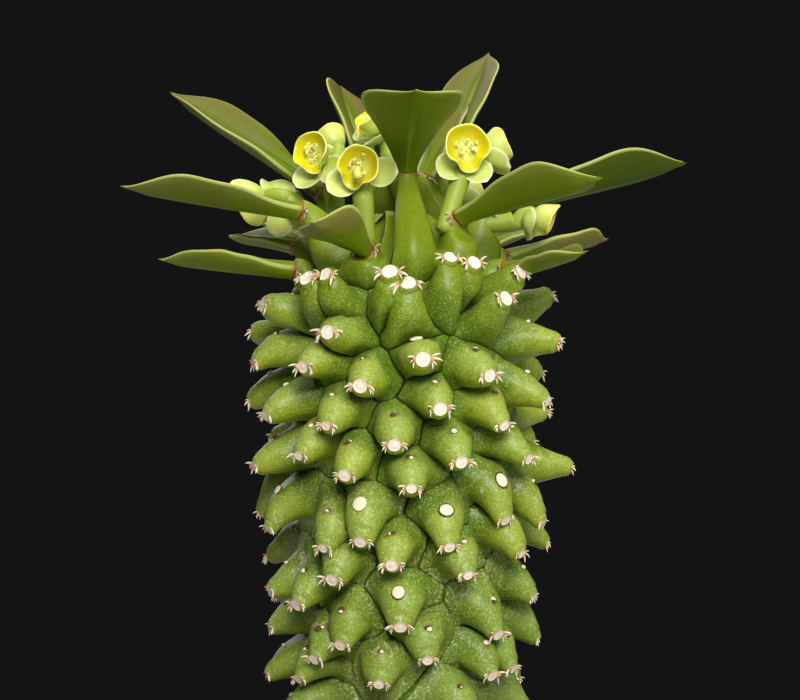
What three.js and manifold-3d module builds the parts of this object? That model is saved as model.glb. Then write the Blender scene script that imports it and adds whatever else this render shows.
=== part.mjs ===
// A potted succulent spurge: an upright stem covered in horn-like tubercles, each ending in a round
// leaf scar between small spines. A crown of fleshy leaves and yellow cup flowers tops it, and it
// stands in gritty soil in a plain clay pot. Millimetres, +Z up, the origin at the middle of the
// pot's foot, and -Y towards the side that shows the flowers best.

import * as THREE from "three";
import { mergeVertices } from "three/addons/utils/BufferGeometryUtils.js";
import Module from "manifold-3d";

const wasm = await Module();
wasm.setup();

// Driving dimensions of the pot and the soil.
const POT_HEIGHT = 88;
const POT_TOP_RADIUS = 49;
const POT_FOOT_RADIUS = 33;
const POT_WALL = 4.5;
const POT_FLOOR = 6;
const RIM_DEPTH = 19;
const RIM_STEP = 3;
const DRAIN_HOLES = 3;
const DRAIN_HOLE_RADIUS = 4;
const DRAIN_HOLE_FROM_CENTRE = 17;
const SOIL_TOP = 78;
const SOIL_RELIEF = 1.3;
const SEAT_GAP = 0.3;
const WALL_GAP = 0.5;

// Driving dimensions of the stem: its fleshy core swells slowly from the soil to a shoulder and
// closes in a dome, and its foot tapers down into the soil.
const CORE_FOOT = 79;
const CORE_FOOT_RADIUS = 12.6;
const CORE_SHOULDER = 152;
const CORE_SHOULDER_RADIUS = 17.2;
const CORE_TOP = 186.5;
const APEX_RADIUS = 2.6;
const FOOT_DEPTH = 34;
const FOOT_RADIUS = 7;

// Driving dimensions of a tubercle.
const TUBERCLE_LENGTH = 11.2;
const SHORT_TUBERCLE_LENGTH = 9;
const NOSE_RADIUS = 1.3;
const STALK_RADIUS = 1.9;
const COLLAR = 1;
const SPINE_LENGTH = 1.5;
const SPINE_SPREAD = 0.5;
const SPINE_SIDE = 0.6;
const TUBERCLE_RINGS = [0.24, 0.6];

// Driving dimensions of the leaves and flowers.
const LEAF_THICKNESS = 2.3;
const LEAF_STALK_WIDTH = 3.6;
const LEAF_BEND = 4;
const LEAF_CURL = 0.05;
const CUP_RADIUS = 3.5;
const CUP_DEPTH = 3.6;
const BRACT_LENGTH = 5.6;
const BRACT_WIDTH = 4.8;
const BRACT_LEANS = [-1.05, 1.05];
const PEDUNCLE_RADIUS = 1.9;
const PEDICEL_RADIUS = 1.15;

// Tubercles of the side that was photographed, from the top down: the turn in degrees from
// straight ahead, the height of the tip, how far the nose hangs in degrees, and any length
// that is out of the ordinary.
const SEEN_TUBERCLES = [
  [22, 179.5, -58], [31.5, 177.6, -30], [57, 176, -22], [-34, 176.5, -42], [-5.5, 177.2, -50],
  [2, 176, -62], [-43, 175.8, -38], [103, 172, -12, 12.5], [43, 172.4, -18], [-68, 170.8, 0],
  [-28, 167.3, 4], [-98, 166.5, 4], [78, 165, 12, 12], [7, 163.5, 8], [-73, 161.8, 34],
  [-38, 162, 18], [32, 160.8, 16], [116, 159.5, 20], [-15, 159.4, 18], [65, 156.2, 24],
  [-96, 155.3, 28], [13, 155.9, 16], [-59, 154, 24], [112, 153, 4], [-28, 153, 24], [39, 152.8, 32],
  [-3, 150, 22], [-123, 148.5, 10], [119, 147.5, 42], [-40, 147.7, 26], [52, 146.8, 30],
  [21, 147, 26], [-69, 145, 20], [90, 144.2, 3, 13.4], [-21, 144.8, 28], [3, 142.8, 26],
  [43.5, 136.4, 58], [-98, 135.5, 52], [71, 135, 52], [-65, 134.2, 52], [-16, 133.5, 46],
  [17.5, 132.6, 44], [-31, 132.2, 40], [101, 130, 36], [51.5, 130.5, 42], [-4, 129.8, 28],
  [-113, 127, 28], [25, 127.8, 34], [-27.5, 126.9, 32], [-71, 123.2, 16, 9], [72, 121.8, 32, 9],
  [-46, 121.9, 34], [-1, 119, 44], [-75, 116.3, 22, 9], [42, 116.7, 42], [-26, 115.5, 38],
  [90, 113.4, 40], [10, 113.2, 38], [-39, 112.6, 34], [55, 110.1, 44], [41, 109.6, 40],
  [-50, 108.6, 34], [-10, 109, 36],
];

// Where the rest of the stem shows, tubercles follow one spiral of the golden angle.
const GOLDEN_ANGLE = 137.508;
const SPIRAL_PITCH = 0.74;
const SPIRAL_FOOT = 84;
const SPIRAL_TOP = 173;
const CLEAR_SPACING = 7.6;

// Tubercles of the crown, which stand up as leaf stalks: turn and height of the root on the core,
// radius, height and rise of the tip, then the leaf's heading, rise, length, width and roll.
const CROWN = [
  { root: [6, 178.6], tip: [5.6, 197, 80], leaf: [3, 13, 34, 16.5, 0] },
  { root: [104, 183.6], tip: [4.6, 196, 62], leaf: [120, 52, 15, 6.5, 0] },
  { root: [-150, 184.6], tip: [4.8, 195.6, 70], leaf: [152, 62, 12, 6, 0] },
  { root: [44, 179.6], tip: [14.4, 188.8, 26], leaf: [52, 7, 29.5, 13, -20] },
  { root: [92, 180.6], tip: [16, 190, 26], leaf: [98, 9, 36, 13, -26] },
  { root: [138, 181], tip: [11, 197, 66], leaf: [158, 37, 33, 11, -16] },
  { root: [170, 179.6], tip: [11.4, 194, 46], leaf: [172, 19, 29, 12, 0] },
  { root: [-144, 181], tip: [10.4, 196, 62], leaf: [-166, 28, 31, 14, 34] },
  { root: [-102, 181], tip: [15, 193.4, 42], leaf: [-111, 27, 34, 13, -8] },
  { root: [-62, 180.2], tip: [20.6, 190, 12], leaf: [-66, 3, 32, 12.5, 8] },
  { root: [-25, 178.8], tip: [15.6, 183.4, 22], leaf: [-34, 10, 16, 10.5, 24] },
  { root: [66, 175.4], tip: [20, 179.6, 10], leaf: [48, 7, 17, 8, 8] },
  { root: [112, 176], tip: [20, 181.6, 16], leaf: [120, 3, 22, 10, -10] },
  { root: [148, 175.4], tip: [21, 182, 18], leaf: [150, 6, 28, 12, 6] },
  { root: [178, 175], tip: [19.6, 184.6, 24], leaf: [178, 10, 30, 13, 0] },
  { root: [-146, 175.4], tip: [20, 183, 18], leaf: [-150, 5, 27, 12, -6] },
  { root: [-112, 175.2], tip: [20.5, 183.6, 14], leaf: [-138, -2, 17, 9, -10] },
  { root: [-76, 174.4], tip: [20, 179.6, 8], leaf: [-80, 0, 23, 10, 6] },
];

// Flower heads: the root and the fork of the stalk, then each cup's middle, heading and rise, and
// how far its open side is turned from straight down. Leans give the turns of its two bracts from
// its open side, in radians, where they stand otherwise than most.
const HEADS = [
  {
    root: [-6.2, -10.4, 183.1], fork: [-7.2, -11.4, 193.8],
    cups: [{ at: [-7.8, -15, 197.8], facing: [-6, 12], gap: -25, leans: [-0.5, 1.9] }],
  },
  {
    root: [-11.8, -5.6, 188.8], fork: [-12.6, -4.4, 196],
    cups: [
      { at: [-16.4, -8.6, 200.6], facing: [-30, 18], gap: 10, leans: [-0.6, 0.7] },
      { at: [-13.2, 1.4, 203.4], facing: [-150, 36], gap: 0 },
    ],
  },
  {
    root: [-1.6, 0.6, 197.4], fork: [-2.6, 1, 200.6],
    cups: [{ at: [-6.4, 0, 207], facing: [-66, 46], gap: -20 }],
  },
  {
    root: [8.6, -9.2, 190.8], fork: [10.8, -6.4, 197.2],
    cups: [
      { at: [11.4, -10.2, 201.4], facing: [8, 16], gap: 5, leans: [-0.85, 0.45] },
      { at: [17.6, -3, 201.6], facing: [112, 20], gap: 0 },
    ],
  },
  {
    root: [-13.2, -1.6, 182.6], fork: [-21.2, -2.6, 192.4],
    cups: [
      { at: [-27.4, 1.2, 190.4], facing: [-130, -30], gap: 180 },
      { at: [-19.8, 3.8, 189.6], facing: [180, -30], gap: 180, leans: [-0.7, -2.6] },
    ],
  },
  {
    root: [18, -0.6, 187.6], fork: [20.4, -0.8, 187.6],
    cups: [{ at: [26.6, -1.4, 188], facing: [84, -24], gap: 0 }],
  },
  {
    root: [6, 13.4, 188.6], fork: [7, 15.6, 191.8],
    cups: [
      { at: [4.6, 21.4, 194.2], facing: [-166, 12], gap: 0 },
      { at: [13, 18, 194.6], facing: [120, 14], gap: 0 },
    ],
  },
];

const DEGREE = Math.PI / 180;
const UP = new THREE.Vector3(0, 0, 1);

// The same random draws each time, from a small seeded generator.
function seededRandom(seed) {
  let state = seed;
  return () => {
    state = (state * 1664525 + 1013904223) % 4294967296;
    return state / 4294967296;
  };
}

// A point from its turn in degrees, its radius and its height.
function polar(turn, radius, height) {
  const angle = turn * DEGREE;
  return new THREE.Vector3(radius * Math.sin(angle), -radius * Math.cos(angle), height);
}

// A direction from its heading and its rise, in degrees.
function heading(turn, rise) {
  return polar(turn, Math.cos(rise * DEGREE), Math.sin(rise * DEGREE));
}

// A mesh under construction: points and the faces that join them.
class Skin {
  constructor() {
    this.points = [];
    this.faces = [];
  }

  point(at) {
    this.points.push(at.x, at.y, at.z);
    return this.points.length / 3 - 1;
  }

  band(outer, inner) {
    const n = outer.length;
    for (let i = 0; i < n; i++) {
      const j = (i + 1) % n;
      this.faces.push(outer[i], outer[j], inner[j], outer[i], inner[j], inner[i]);
    }
  }

  fan(ring, centre) {
    ring.forEach((a, i) => this.faces.push(a, ring[(i + 1) % ring.length], centre));
  }

  geometry() {
    const made = new THREE.BufferGeometry();
    made.setAttribute("position", new THREE.Float32BufferAttribute(this.points, 3));
    made.setIndex(this.faces);
    return made;
  }
}

// A closed skin through rings of points, with a point or a flat fan at each end.
function loft(rings) {
  const skin = new Skin();
  const ids = rings.map((ring) => ring.map((p) => skin.point(p)));
  for (let k = 0; k + 1 < ids.length; k++) skin.band(ids[k], ids[k + 1]);
  for (let i = 1; i + 1 < ids[0].length; i++) {
    skin.faces.push(ids[0][0], ids[0][i + 1], ids[0][i]);
    const last = ids[ids.length - 1];
    skin.faces.push(last[0], last[i], last[i + 1]);
  }
  return skin.geometry();
}

// A solid that the boolean operations can read, from a closed geometry.
function solidOf(geometry) {
  const bare = geometry.clone();
  bare.deleteAttribute("normal");
  bare.deleteAttribute("uv");
  const merged = mergeVertices(bare, 1e-4);
  return new wasm.Manifold(
    new wasm.Mesh({
      numProp: 3,
      vertProperties: new Float32Array(merged.attributes.position.array),
      triVerts: new Uint32Array(merged.index.array),
    }),
  );
}

// The geometry of a solid that booleans have made.
function geometryOf(solid) {
  const mesh = solid.getMesh();
  const made = new THREE.BufferGeometry();
  made.setAttribute("position", new THREE.Float32BufferAttribute(mesh.vertProperties, 3));
  made.setIndex(Array.from(mesh.triVerts));
  return made;
}

function finish(colour, roughness) {
  return new THREE.MeshStandardMaterial({ color: colour, roughness, metalness: 0 });
}

const CLAY = finish(0xb5694a, 0.9);
const SOIL = finish(0x6e5b49, 1);
const STEM_SKIN = finish(0x6d8c3a, 0.55);
const LEAF_SKIN = finish(0x6c8a2c, 0.45);
const BRACT_SKIN = finish(0xb9cc6a, 0.5);
const CUP_SKIN = finish(0xd8cc1c, 0.4);

function named(name, geometry, material) {
  const mesh = new THREE.Mesh(geometry, material);
  mesh.name = name;
  return mesh;
}

// The pot: a tapered wall under a deeper rim band, with drain holes round the middle of its floor.
function makePot() {
  const SIDES = 40;
  const bandBottom = POT_HEIGHT - RIM_DEPTH;
  const shoulder = POT_TOP_RADIUS - RIM_STEP;
  const innerTop = POT_TOP_RADIUS - POT_WALL;
  const innerFoot = POT_FOOT_RADIUS - POT_WALL;
  const profile = [
    [0, 0], [POT_FOOT_RADIUS - 1, 0], [POT_FOOT_RADIUS, 1], [shoulder - 1, bandBottom],
    [POT_TOP_RADIUS - 1, bandBottom + 1], [POT_TOP_RADIUS, POT_HEIGHT - 1.5],
    [POT_TOP_RADIUS - 1.5, POT_HEIGHT], [innerTop + 1, POT_HEIGHT], [innerTop, POT_HEIGHT - 1],
    [innerFoot, POT_FLOOR], [0, POT_FLOOR],
  ].map(([radius, height]) => new THREE.Vector2(radius, height));
  const turned = new THREE.LatheGeometry(profile, SIDES).rotateX(Math.PI / 2);
  let pot = solidOf(turned);
  for (let i = 0; i < DRAIN_HOLES; i++) {
    const centre = polar((360 * i) / DRAIN_HOLES, DRAIN_HOLE_FROM_CENTRE, POT_FLOOR / 2);
    const drill = new THREE.CylinderGeometry(DRAIN_HOLE_RADIUS, DRAIN_HOLE_RADIUS, 3 * POT_FLOOR, 16);
    drill.rotateX(Math.PI / 2).translate(centre.x, centre.y, centre.z);
    pot = pot.subtract(solidOf(drill));
  }
  return named("pot", geometryOf(pot), CLAY);
}

// Inner radius of the pot's wall at a height.
function potInside(height) {
  const share = (height - POT_FLOOR) / (POT_HEIGHT - 1 - POT_FLOOR);
  return POT_FOOT_RADIUS - POT_WALL + share * (POT_TOP_RADIUS - POT_FOOT_RADIUS);
}

// The soil: fills the pot to its lumpy top, round a plain hole for the stem's foot.
function makeSoil() {
  const SIDES = 36;
  const RINGS = [0.98, 0.82, 0.62, 0.42, 0.3];
  const random = seededRandom(7);
  const under = POT_FLOOR + SEAT_GAP;
  const holeTop = CORE_FOOT_RADIUS + SEAT_GAP;
  const holeFoot = FOOT_RADIUS + SEAT_GAP;
  const holeDepth = FOOT_DEPTH + SEAT_GAP;
  const ringAt = (radius, height, relief = 0) =>
    Array.from({ length: SIDES }, (_, i) =>
      polar((360 * i) / SIDES, radius, height + relief * (random() - 0.5)));
  const edge = potInside(SOIL_TOP) - WALL_GAP;
  const rings = [
    ringAt(potInside(under) - WALL_GAP, under),
    ringAt(edge, SOIL_TOP - 0.6),
    ...RINGS.map((share) => ringAt(holeTop + share * (edge - holeTop), SOIL_TOP, SOIL_RELIEF)),
    ringAt(holeTop, SOIL_TOP - 0.8),
    ringAt(holeFoot, SOIL_TOP - holeDepth),
  ];
  return named("soil", loft(rings), SOIL);
}

// Radius of the core at a height.
function coreRadius(height) {
  const swell = THREE.MathUtils.smoothstep(height, CORE_FOOT - 45, CORE_SHOULDER);
  const foot = THREE.MathUtils.smoothstep(CORE_FOOT, CORE_FOOT - 45, CORE_SHOULDER);
  const grown = CORE_FOOT_RADIUS
    + (CORE_SHOULDER_RADIUS - CORE_FOOT_RADIUS) * (swell - foot) / (1 - foot);
  const dome = Math.max((height - CORE_SHOULDER) / (CORE_TOP - CORE_SHOULDER), 0);
  return grown * Math.sqrt(1 - dome ** 3);
}

// The core's outline as a conformal map, so that one unit of rise spans as much skin as one
// radian of turn does.
class Core {
  constructor() {
    const STEP = 0.1;
    this.table = [];
    let rise = 0;
    let last = { radius: coreRadius(CORE_FOOT), height: CORE_FOOT };
    for (let i = 0; last.radius > APEX_RADIUS; i++) {
      const height = CORE_FOOT + i * STEP;
      const radius = coreRadius(height);
      rise += Math.hypot(radius - last.radius, height - last.height) / ((radius + last.radius) / 2);
      last = { rise, radius, height };
      this.table.push(last);
    }
    this.top = rise;
  }

  // The row of the table where key first passes value, blended with the row before it.
  lookup(key, value) {
    const rows = this.table;
    let i = rows.findIndex((row) => row[key] >= value);
    if (i < 0) i = rows.length - 1;
    if (i === 0) i = 1;
    const [a, b] = [rows[i - 1], rows[i]];
    const share = THREE.MathUtils.clamp((value - a[key]) / (b[key] - a[key]), 0, 1);
    const blend = (name) => a[name] + share * (b[name] - a[name]);
    const slope = Math.atan2(b.radius - a.radius, b.height - a.height);
    return { rise: blend("rise"), radius: blend("radius"), height: blend("height"), slope };
  }

  point(turn, rise) {
    const row = this.lookup("rise", rise);
    return polar(turn / DEGREE, row.radius, row.height);
  }

  // The axes of the skin at a place: along the turn, up the skin, and outwards.
  axes(turn, rise) {
    const { slope } = this.lookup("rise", rise);
    const side = new THREE.Vector3(Math.cos(turn), Math.sin(turn), 0);
    const radial = new THREE.Vector3(Math.sin(turn), -Math.cos(turn), 0);
    const up = radial.clone().multiplyScalar(Math.sin(slope)).addScaledVector(UP, Math.cos(slope));
    return { side, up, out: side.clone().cross(up) };
  }
}

const core = new Core();

// The turn from one angle to another, within half a circle.
function turnBetween(from, to) {
  const full = 2 * Math.PI;
  return ((((to - from + Math.PI) % full) + full) % full) - Math.PI;
}

// How long a tubercle is at a height, shorter towards the old foot of the stem.
function lengthAt(height) {
  const share = THREE.MathUtils.smoothstep(height, 95, 140);
  return SHORT_TUBERCLE_LENGTH + share * (TUBERCLE_LENGTH - SHORT_TUBERCLE_LENGTH);
}

// A stem tubercle from its turn in degrees, its tip's height, its droop and its length.
function stemTubercle(turn, tipHeight, droop, length = lengthAt(tipHeight)) {
  const lean = 0.62 * droop * DEGREE;
  const rootHeight = tipHeight + length * Math.sin(lean);
  const row = core.lookup("height", rootHeight);
  const angle = turn * DEGREE;
  const { out, up } = core.axes(angle, row.rise);
  const along = (tilt) =>
    out.clone().multiplyScalar(Math.cos(tilt)).addScaledVector(up, -Math.sin(tilt));
  const root = core.point(angle, row.rise);
  const tip = root.clone().addScaledVector(along(lean), length);
  return { turn: angle, rise: row.rise, tip, nose: along(droop * DEGREE), length };
}

// A crown tubercle, which stands up as the stalk of the leaf that it carries.
function crownTubercle({ root, tip, leaf }) {
  const angle = root[0] * DEGREE;
  const row = core.lookup("height", root[1]);
  const end = polar(root[0], tip[0], tip[1]);
  const length = end.distanceTo(core.point(angle, row.rise));
  const nose = heading((root[0] + leaf[0]) / 2, tip[2]);
  return { turn: angle, rise: row.rise, tip: end, nose, length, leaf };
}

// Distance over the skin between two roots.
function skinDistance(a, b) {
  const radius = core.lookup("rise", (a.rise + b.rise) / 2).radius;
  return radius * Math.hypot(turnBetween(a.turn, b.turn), a.rise - b.rise);
}

// All tubercles: the crown, the ones placed by eye, and a spiral wherever those leave room.
function allTubercles() {
  const found = [
    ...CROWN.map(crownTubercle),
    ...SEEN_TUBERCLES.map(([...place]) => stemTubercle(...place)),
  ];
  const random = seededRandom(23);
  const steps = Math.floor((SPIRAL_TOP - SPIRAL_FOOT) / SPIRAL_PITCH);
  for (let i = 0; i < steps; i++) {
    const height = SPIRAL_FOOT + i * SPIRAL_PITCH;
    const droop = THREE.MathUtils.mapLinear(height, SPIRAL_FOOT, SPIRAL_TOP, 34, 0)
      + 22 * (random() - 0.5);
    const length = lengthAt(height) * (0.9 + 0.25 * random());
    const next = stemTubercle(-GOLDEN_ANGLE * i + 6 * random(), height, droop, length);
    if (found.every((one) => skinDistance(one, next) > CLEAR_SPACING)) found.push(next);
  }
  return found;
}

// The part of a polygon on the near side of the line halfway between two places.
function clipHalfway(polygon, dx, dy) {
  const limit = (dx * dx + dy * dy) / 2;
  const side = ([x, y]) => x * dx + y * dy - limit;
  const kept = [];
  polygon.forEach((a, i) => {
    const b = polygon[(i + 1) % polygon.length];
    const [sa, sb] = [side(a), side(b)];
    if (sa <= 0) kept.push(a);
    if (sa * sb < 0) {
      const share = sa / (sa - sb);
      kept.push([a[0] + share * (b[0] - a[0]), a[1] + share * (b[1] - a[1])]);
    }
  });
  return kept;
}

// The outline of each tubercle's base: the skin nearer to its root than to any other.
function baseOutlines(tubercles) {
  return tubercles.map((one) => {
    const low = -one.rise;
    const high = core.top - one.rise;
    let polygon = [[-Math.PI, low], [Math.PI, low], [Math.PI, high], [-Math.PI, high]];
    tubercles.forEach((other) => {
      if (other === one) return;
      const turn = turnBetween(one.turn, other.turn);
      for (const lap of [-1, 0, 1]) {
        polygon = clipHalfway(polygon, turn + lap * 2 * Math.PI, other.rise - one.rise);
      }
    });
    return polygon.map(([x, y]) => [x + one.turn, y + one.rise]);
  });
}

// Corners that several outlines share are one point of the skin.
class SharedCorners {
  constructor(skin) {
    this.skin = skin;
    this.corners = [];
  }

  at(turn, rise) {
    const CLOSE = 0.012;
    let found = this.corners.find((corner) =>
      Math.hypot(turnBetween(corner.turn, turn), corner.rise - rise) < CLOSE);
    if (!found) {
      found = { turn, rise, id: this.skin.point(core.point(turn, rise)) };
      this.corners.push(found);
    }
    return found;
  }
}

// A point on the smooth path that a tubercle's middle follows from its root to its tip.
function tubercleAxis(one) {
  const root = core.point(one.turn, one.rise);
  const { out } = core.axes(one.turn, one.rise);
  return new THREE.CubicBezierCurve3(
    root,
    root.clone().addScaledVector(out, 0.42 * one.length),
    one.tip.clone().addScaledVector(one.nose, -0.34 * one.length),
    one.tip,
  );
}

// How wide a tubercle is along its length, as a share of its base: a full shoulder, then a nose.
function taper(t) {
  return 1 - THREE.MathUtils.smoothstep(t, -0.25, 0.86);
}

// A ring round the tubercle's axis at a share of its length, blending its base into a circle.
function tubercleRing(one, axis, corners, t) {
  const { side, up, out } = core.axes(one.turn, one.rise);
  const root = core.point(one.turn, one.rise);
  const forward = axis.getTangent(t);
  const turned = new THREE.Quaternion().setFromUnitVectors(out, forward);
  const across = side.clone().applyQuaternion(turned);
  const above = up.clone().applyQuaternion(turned);
  const middle = axis.getPoint(t);
  const BASE_RADIUS = 5;
  const round = THREE.MathUtils.smoothstep(t, 0.1, 0.85);
  const neck = one.leaf ? STALK_RADIUS : NOSE_RADIUS;
  return corners.map((corner) => {
    const away = core.point(corner.turn, corner.rise).sub(root);
    const [x, y] = [away.dot(side), away.dot(up)];
    const size = Math.hypot(x, y);
    const half = size + (BASE_RADIUS - size) * round;
    const reach = (neck + (half - neck) * taper(t) / taper(0)) / size;
    return middle.clone().addScaledVector(across, x * reach).addScaledVector(above, y * reach);
  });
}

// The collar behind the scar: its side faces are drawn out into spines, and the scar closes it.
function spinyCollar(skin, one, outer, inner, tip) {
  const n = outer.length;
  const at = (id) => new THREE.Vector3().fromArray(skin.points, 3 * id);
  const { up } = core.axes(one.turn, one.rise);
  for (let i = 0; i < n; i++) {
    const j = (i + 1) % n;
    const four = [outer[i], outer[j], inner[j], inner[i]];
    const middle = four.reduce((sum, id) => sum.add(at(id)), new THREE.Vector3()).divideScalar(4);
    const away = middle.clone().sub(tip);
    away.addScaledVector(one.nose, -away.dot(one.nose)).normalize();
    if (Math.abs(away.dot(up)) > SPINE_SIDE) {
      skin.faces.push(four[0], four[1], four[2], four[0], four[2], four[3]);
      continue;
    }
    const point = middle.addScaledVector(away, SPINE_LENGTH).addScaledVector(one.nose, SPINE_SPREAD);
    skin.fan(four, skin.point(point));
  }
  for (let i = 1; i + 1 < n; i++) skin.faces.push(inner[0], inner[i], inner[i + 1]);
}

// The stem: every tubercle raised from its own outline on the core, closed by a plain buried foot.
function makeStem(tubercles) {
  const skin = new Skin();
  const shared = new SharedCorners(skin);
  const footCorners = new Map();
  const topCorners = new Map();
  baseOutlines(tubercles).forEach((outline, k) => {
    const one = tubercles[k];
    const corners = outline.map(([turn, rise]) => shared.at(turn, rise))
      .filter((corner, i, all) => corner !== all[(i + 1) % all.length]);
    corners.forEach((corner) => {
      if (corner.rise < 1e-6) footCorners.set(corner.id, corner);
      if (corner.rise > core.top - 1e-6) topCorners.set(corner.id, corner);
    });
    const axis = tubercleAxis(one);
    let ring = corners.map((corner) => corner.id);
    const stages = [...TUBERCLE_RINGS, 1 - COLLAR / one.length, 1];
    for (const t of stages) {
      const next = tubercleRing(one, axis, corners, t).map((at) => skin.point(at));
      if (t === 1) spinyCollar(skin, one, ring, next, one.tip);
      else skin.band(ring, next);
      ring = next;
    }
  });
  const inOrder = (corners) => [...corners.values()]
    .sort((a, b) => turnBetween(0, a.turn) - turnBetween(0, b.turn));
  const apex = skin.point(new THREE.Vector3(0, 0, CORE_TOP));
  skin.fan(inOrder(topCorners).map((corner) => corner.id), apex);
  const foot = inOrder(footCorners);
  const drop = (radius, height) =>
    foot.map(({ turn }) => skin.point(polar(turn / DEGREE, radius, height)));
  const collarRing = drop(CORE_FOOT_RADIUS - 0.4, SOIL_TOP - 0.8);
  const buried = drop(FOOT_RADIUS, SOIL_TOP - FOOT_DEPTH);
  skin.band(buried, collarRing);
  skin.band(collarRing, foot.map((corner) => corner.id));
  skin.fan([...buried].reverse(), skin.point(new THREE.Vector3(0, 0, SOIL_TOP - FOOT_DEPTH)));
  return named("stem", skin.geometry(), STEM_SKIN);
}

// Half the width of a leaf along its length: a narrow stalk, a broad shoulder and a pointed tip.
function leafHalfWidth(t, width) {
  const swell = THREE.MathUtils.smoothstep(t, -0.06, 0.72);
  const close = THREE.MathUtils.smoothstep(t, 0.68, 1.05) ** 1.5;
  return (LEAF_STALK_WIDTH / 2) * (1 - t) + (width / 2) * swell * (1 - close);
}

// A fleshy leaf that bends away from the tip of its stalk, keeled below and channelled above.
function makeLeaf(name, one) {
  const [turn, rise, length, width, roll] = one.leaf;
  const STATIONS = [0, 0.12, 0.28, 0.44, 0.58, 0.72, 0.84, 0.94, 1];
  const forward = heading(turn, rise);
  const level = heading(turn + 90, 0).applyAxisAngle(forward, roll * DEGREE);
  const start = one.tip.clone().addScaledVector(one.nose, SEAT_GAP);
  const bend = start.clone().addScaledVector(one.nose, LEAF_BEND);
  const end = bend.clone().addScaledVector(forward, length - LEAF_BEND);
  const spine = new THREE.QuadraticBezierCurve3(start, bend, end);
  const rings = STATIONS.map((t) => {
    const half = leafHalfWidth(t, width);
    const thick = LEAF_THICKNESS * (1 - 0.72 * t);
    const fold = 0.34 * half * THREE.MathUtils.smoothstep(t, 0.05, 0.4);
    const tangent = spine.getTangentAt(t);
    const above = tangent.clone().cross(level).normalize();
    const across = above.clone().cross(tangent);
    const middle = spine.getPointAt(t).addScaledVector(above, LEAF_CURL * length * t * t);
    return [[0, -0.72 * thick], [half, fold], [half * 0.45, fold * 0.3 + thick / 2],
      [0, 0.1 * thick], [-half * 0.45, fold * 0.3 + thick / 2], [-half, fold]]
      .map(([x, y]) => middle.clone().addScaledVector(across, x).addScaledVector(above, y));
  });
  return named(name, loft(rings), LEAF_SKIN);
}

// The axes of a flower that looks along facing, turned so that its open side points down.
function flowerAxes({ facing, gap }) {
  const out = heading(facing[0], facing[1]);
  const side = heading(facing[0] + 90, 0).applyAxisAngle(out, gap * DEGREE);
  return { out, side, up: side.clone().cross(out).negate() };
}

// The yellow cup: a thin bowl with a dip in its lower rim and stamens that rise from its floor.
function makeCup(name, cup) {
  const SIDES = 12;
  const { out, side, up } = flowerAxes(cup);
  const base = new THREE.Vector3(...cup.at).addScaledVector(out, -CUP_DEPTH);
  const PROFILE = [[0.34, 0], [0.74, 0.42], [1, 1], [0.86, 0.98], [0.56, 0.48], [0.26, 0.34]];
  const dip = (angle) => Math.exp(-(((angle + Math.PI / 2) / 0.62) ** 2));
  const angleOf = (i) => (2 * Math.PI * i) / SIDES - Math.PI;
  const place = (angle, radius, height) => base.clone()
    .addScaledVector(side, radius * Math.cos(angle))
    .addScaledVector(up, radius * Math.sin(angle))
    .addScaledVector(out, height);
  const rings = PROFILE.map(([radius, height]) =>
    Array.from({ length: SIDES }, (_, i) => {
      const low = dip(angleOf(i)) * height;
      return place(angleOf(i), CUP_RADIUS * radius * (1 + 0.12 * low), CUP_DEPTH * height * (1 - 0.45 * low));
    }));
  const skin = new Skin();
  const ids = rings.map((ring) => ring.map((p) => skin.point(p)));
  for (let k = 0; k + 1 < ids.length; k++) skin.band(ids[k], ids[k + 1]);
  for (let i = 1; i + 1 < SIDES; i++) skin.faces.push(ids[0][0], ids[0][i + 1], ids[0][i]);
  const floor = ids[ids.length - 1];
  const middle = skin.point(place(0, 0, CUP_DEPTH * 0.36));
  for (let i = 0; i < SIDES; i++) {
    const three = [floor[i], floor[(i + 1) % SIDES], middle];
    if (i % 2) {
      skin.faces.push(...three);
      continue;
    }
    const lean = angleOf(i + 0.5);
    skin.fan(three, skin.point(place(lean, CUP_RADIUS * 0.34, CUP_DEPTH * 0.86)));
  }
  return named(name, skin.geometry(), CUP_SKIN);
}

// A pointed bract: an arched blade that leaves the flower's foot and opens beside its cup.
function bractGeometry(cup, lean) {
  const { out, side, up } = flowerAxes(cup);
  const foot = new THREE.Vector3(...cup.at).addScaledVector(out, -CUP_DEPTH - 1.1);
  const outward = side.clone().multiplyScalar(Math.sin(lean)).addScaledVector(up, -Math.cos(lean));
  const across = out.clone().cross(outward);
  const STATIONS = [0, 0.3, 0.62, 0.88, 1];
  const HALVES = [0.3, 0.8, 1, 0.6, 0.16];
  return loft(STATIONS.map((t, k) => {
    const half = (BRACT_WIDTH / 2) * HALVES[k];
    const middle = foot.clone()
      .addScaledVector(outward, 0.6 + BRACT_LENGTH * t)
      .addScaledVector(out, BRACT_LENGTH * 0.42 * t * t - 0.1);
    const curl = 0.32 * half;
    return [[0, -0.42], [half, curl], [0, 0.32], [-half, curl]]
      .map(([x, y]) => middle.clone().addScaledVector(across, x).addScaledVector(out, y));
  }));
}

// A round stalk along a curve, from one radius to another.
function stalkGeometry(curve, startRadius, endRadius) {
  const SIDES = 6;
  const STEPS = 4;
  const frames = curve.computeFrenetFrames(STEPS, false);
  return loft(Array.from({ length: STEPS + 1 }, (_, k) => {
    const radius = startRadius + ((endRadius - startRadius) * k) / STEPS;
    const at = curve.getPointAt(k / STEPS);
    return Array.from({ length: SIDES }, (_, i) => {
      const angle = (2 * Math.PI * i) / SIDES;
      return at.clone()
        .addScaledVector(frames.normals[k], radius * Math.cos(angle))
        .addScaledVector(frames.binormals[k], radius * Math.sin(angle));
    });
  }));
}

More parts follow.
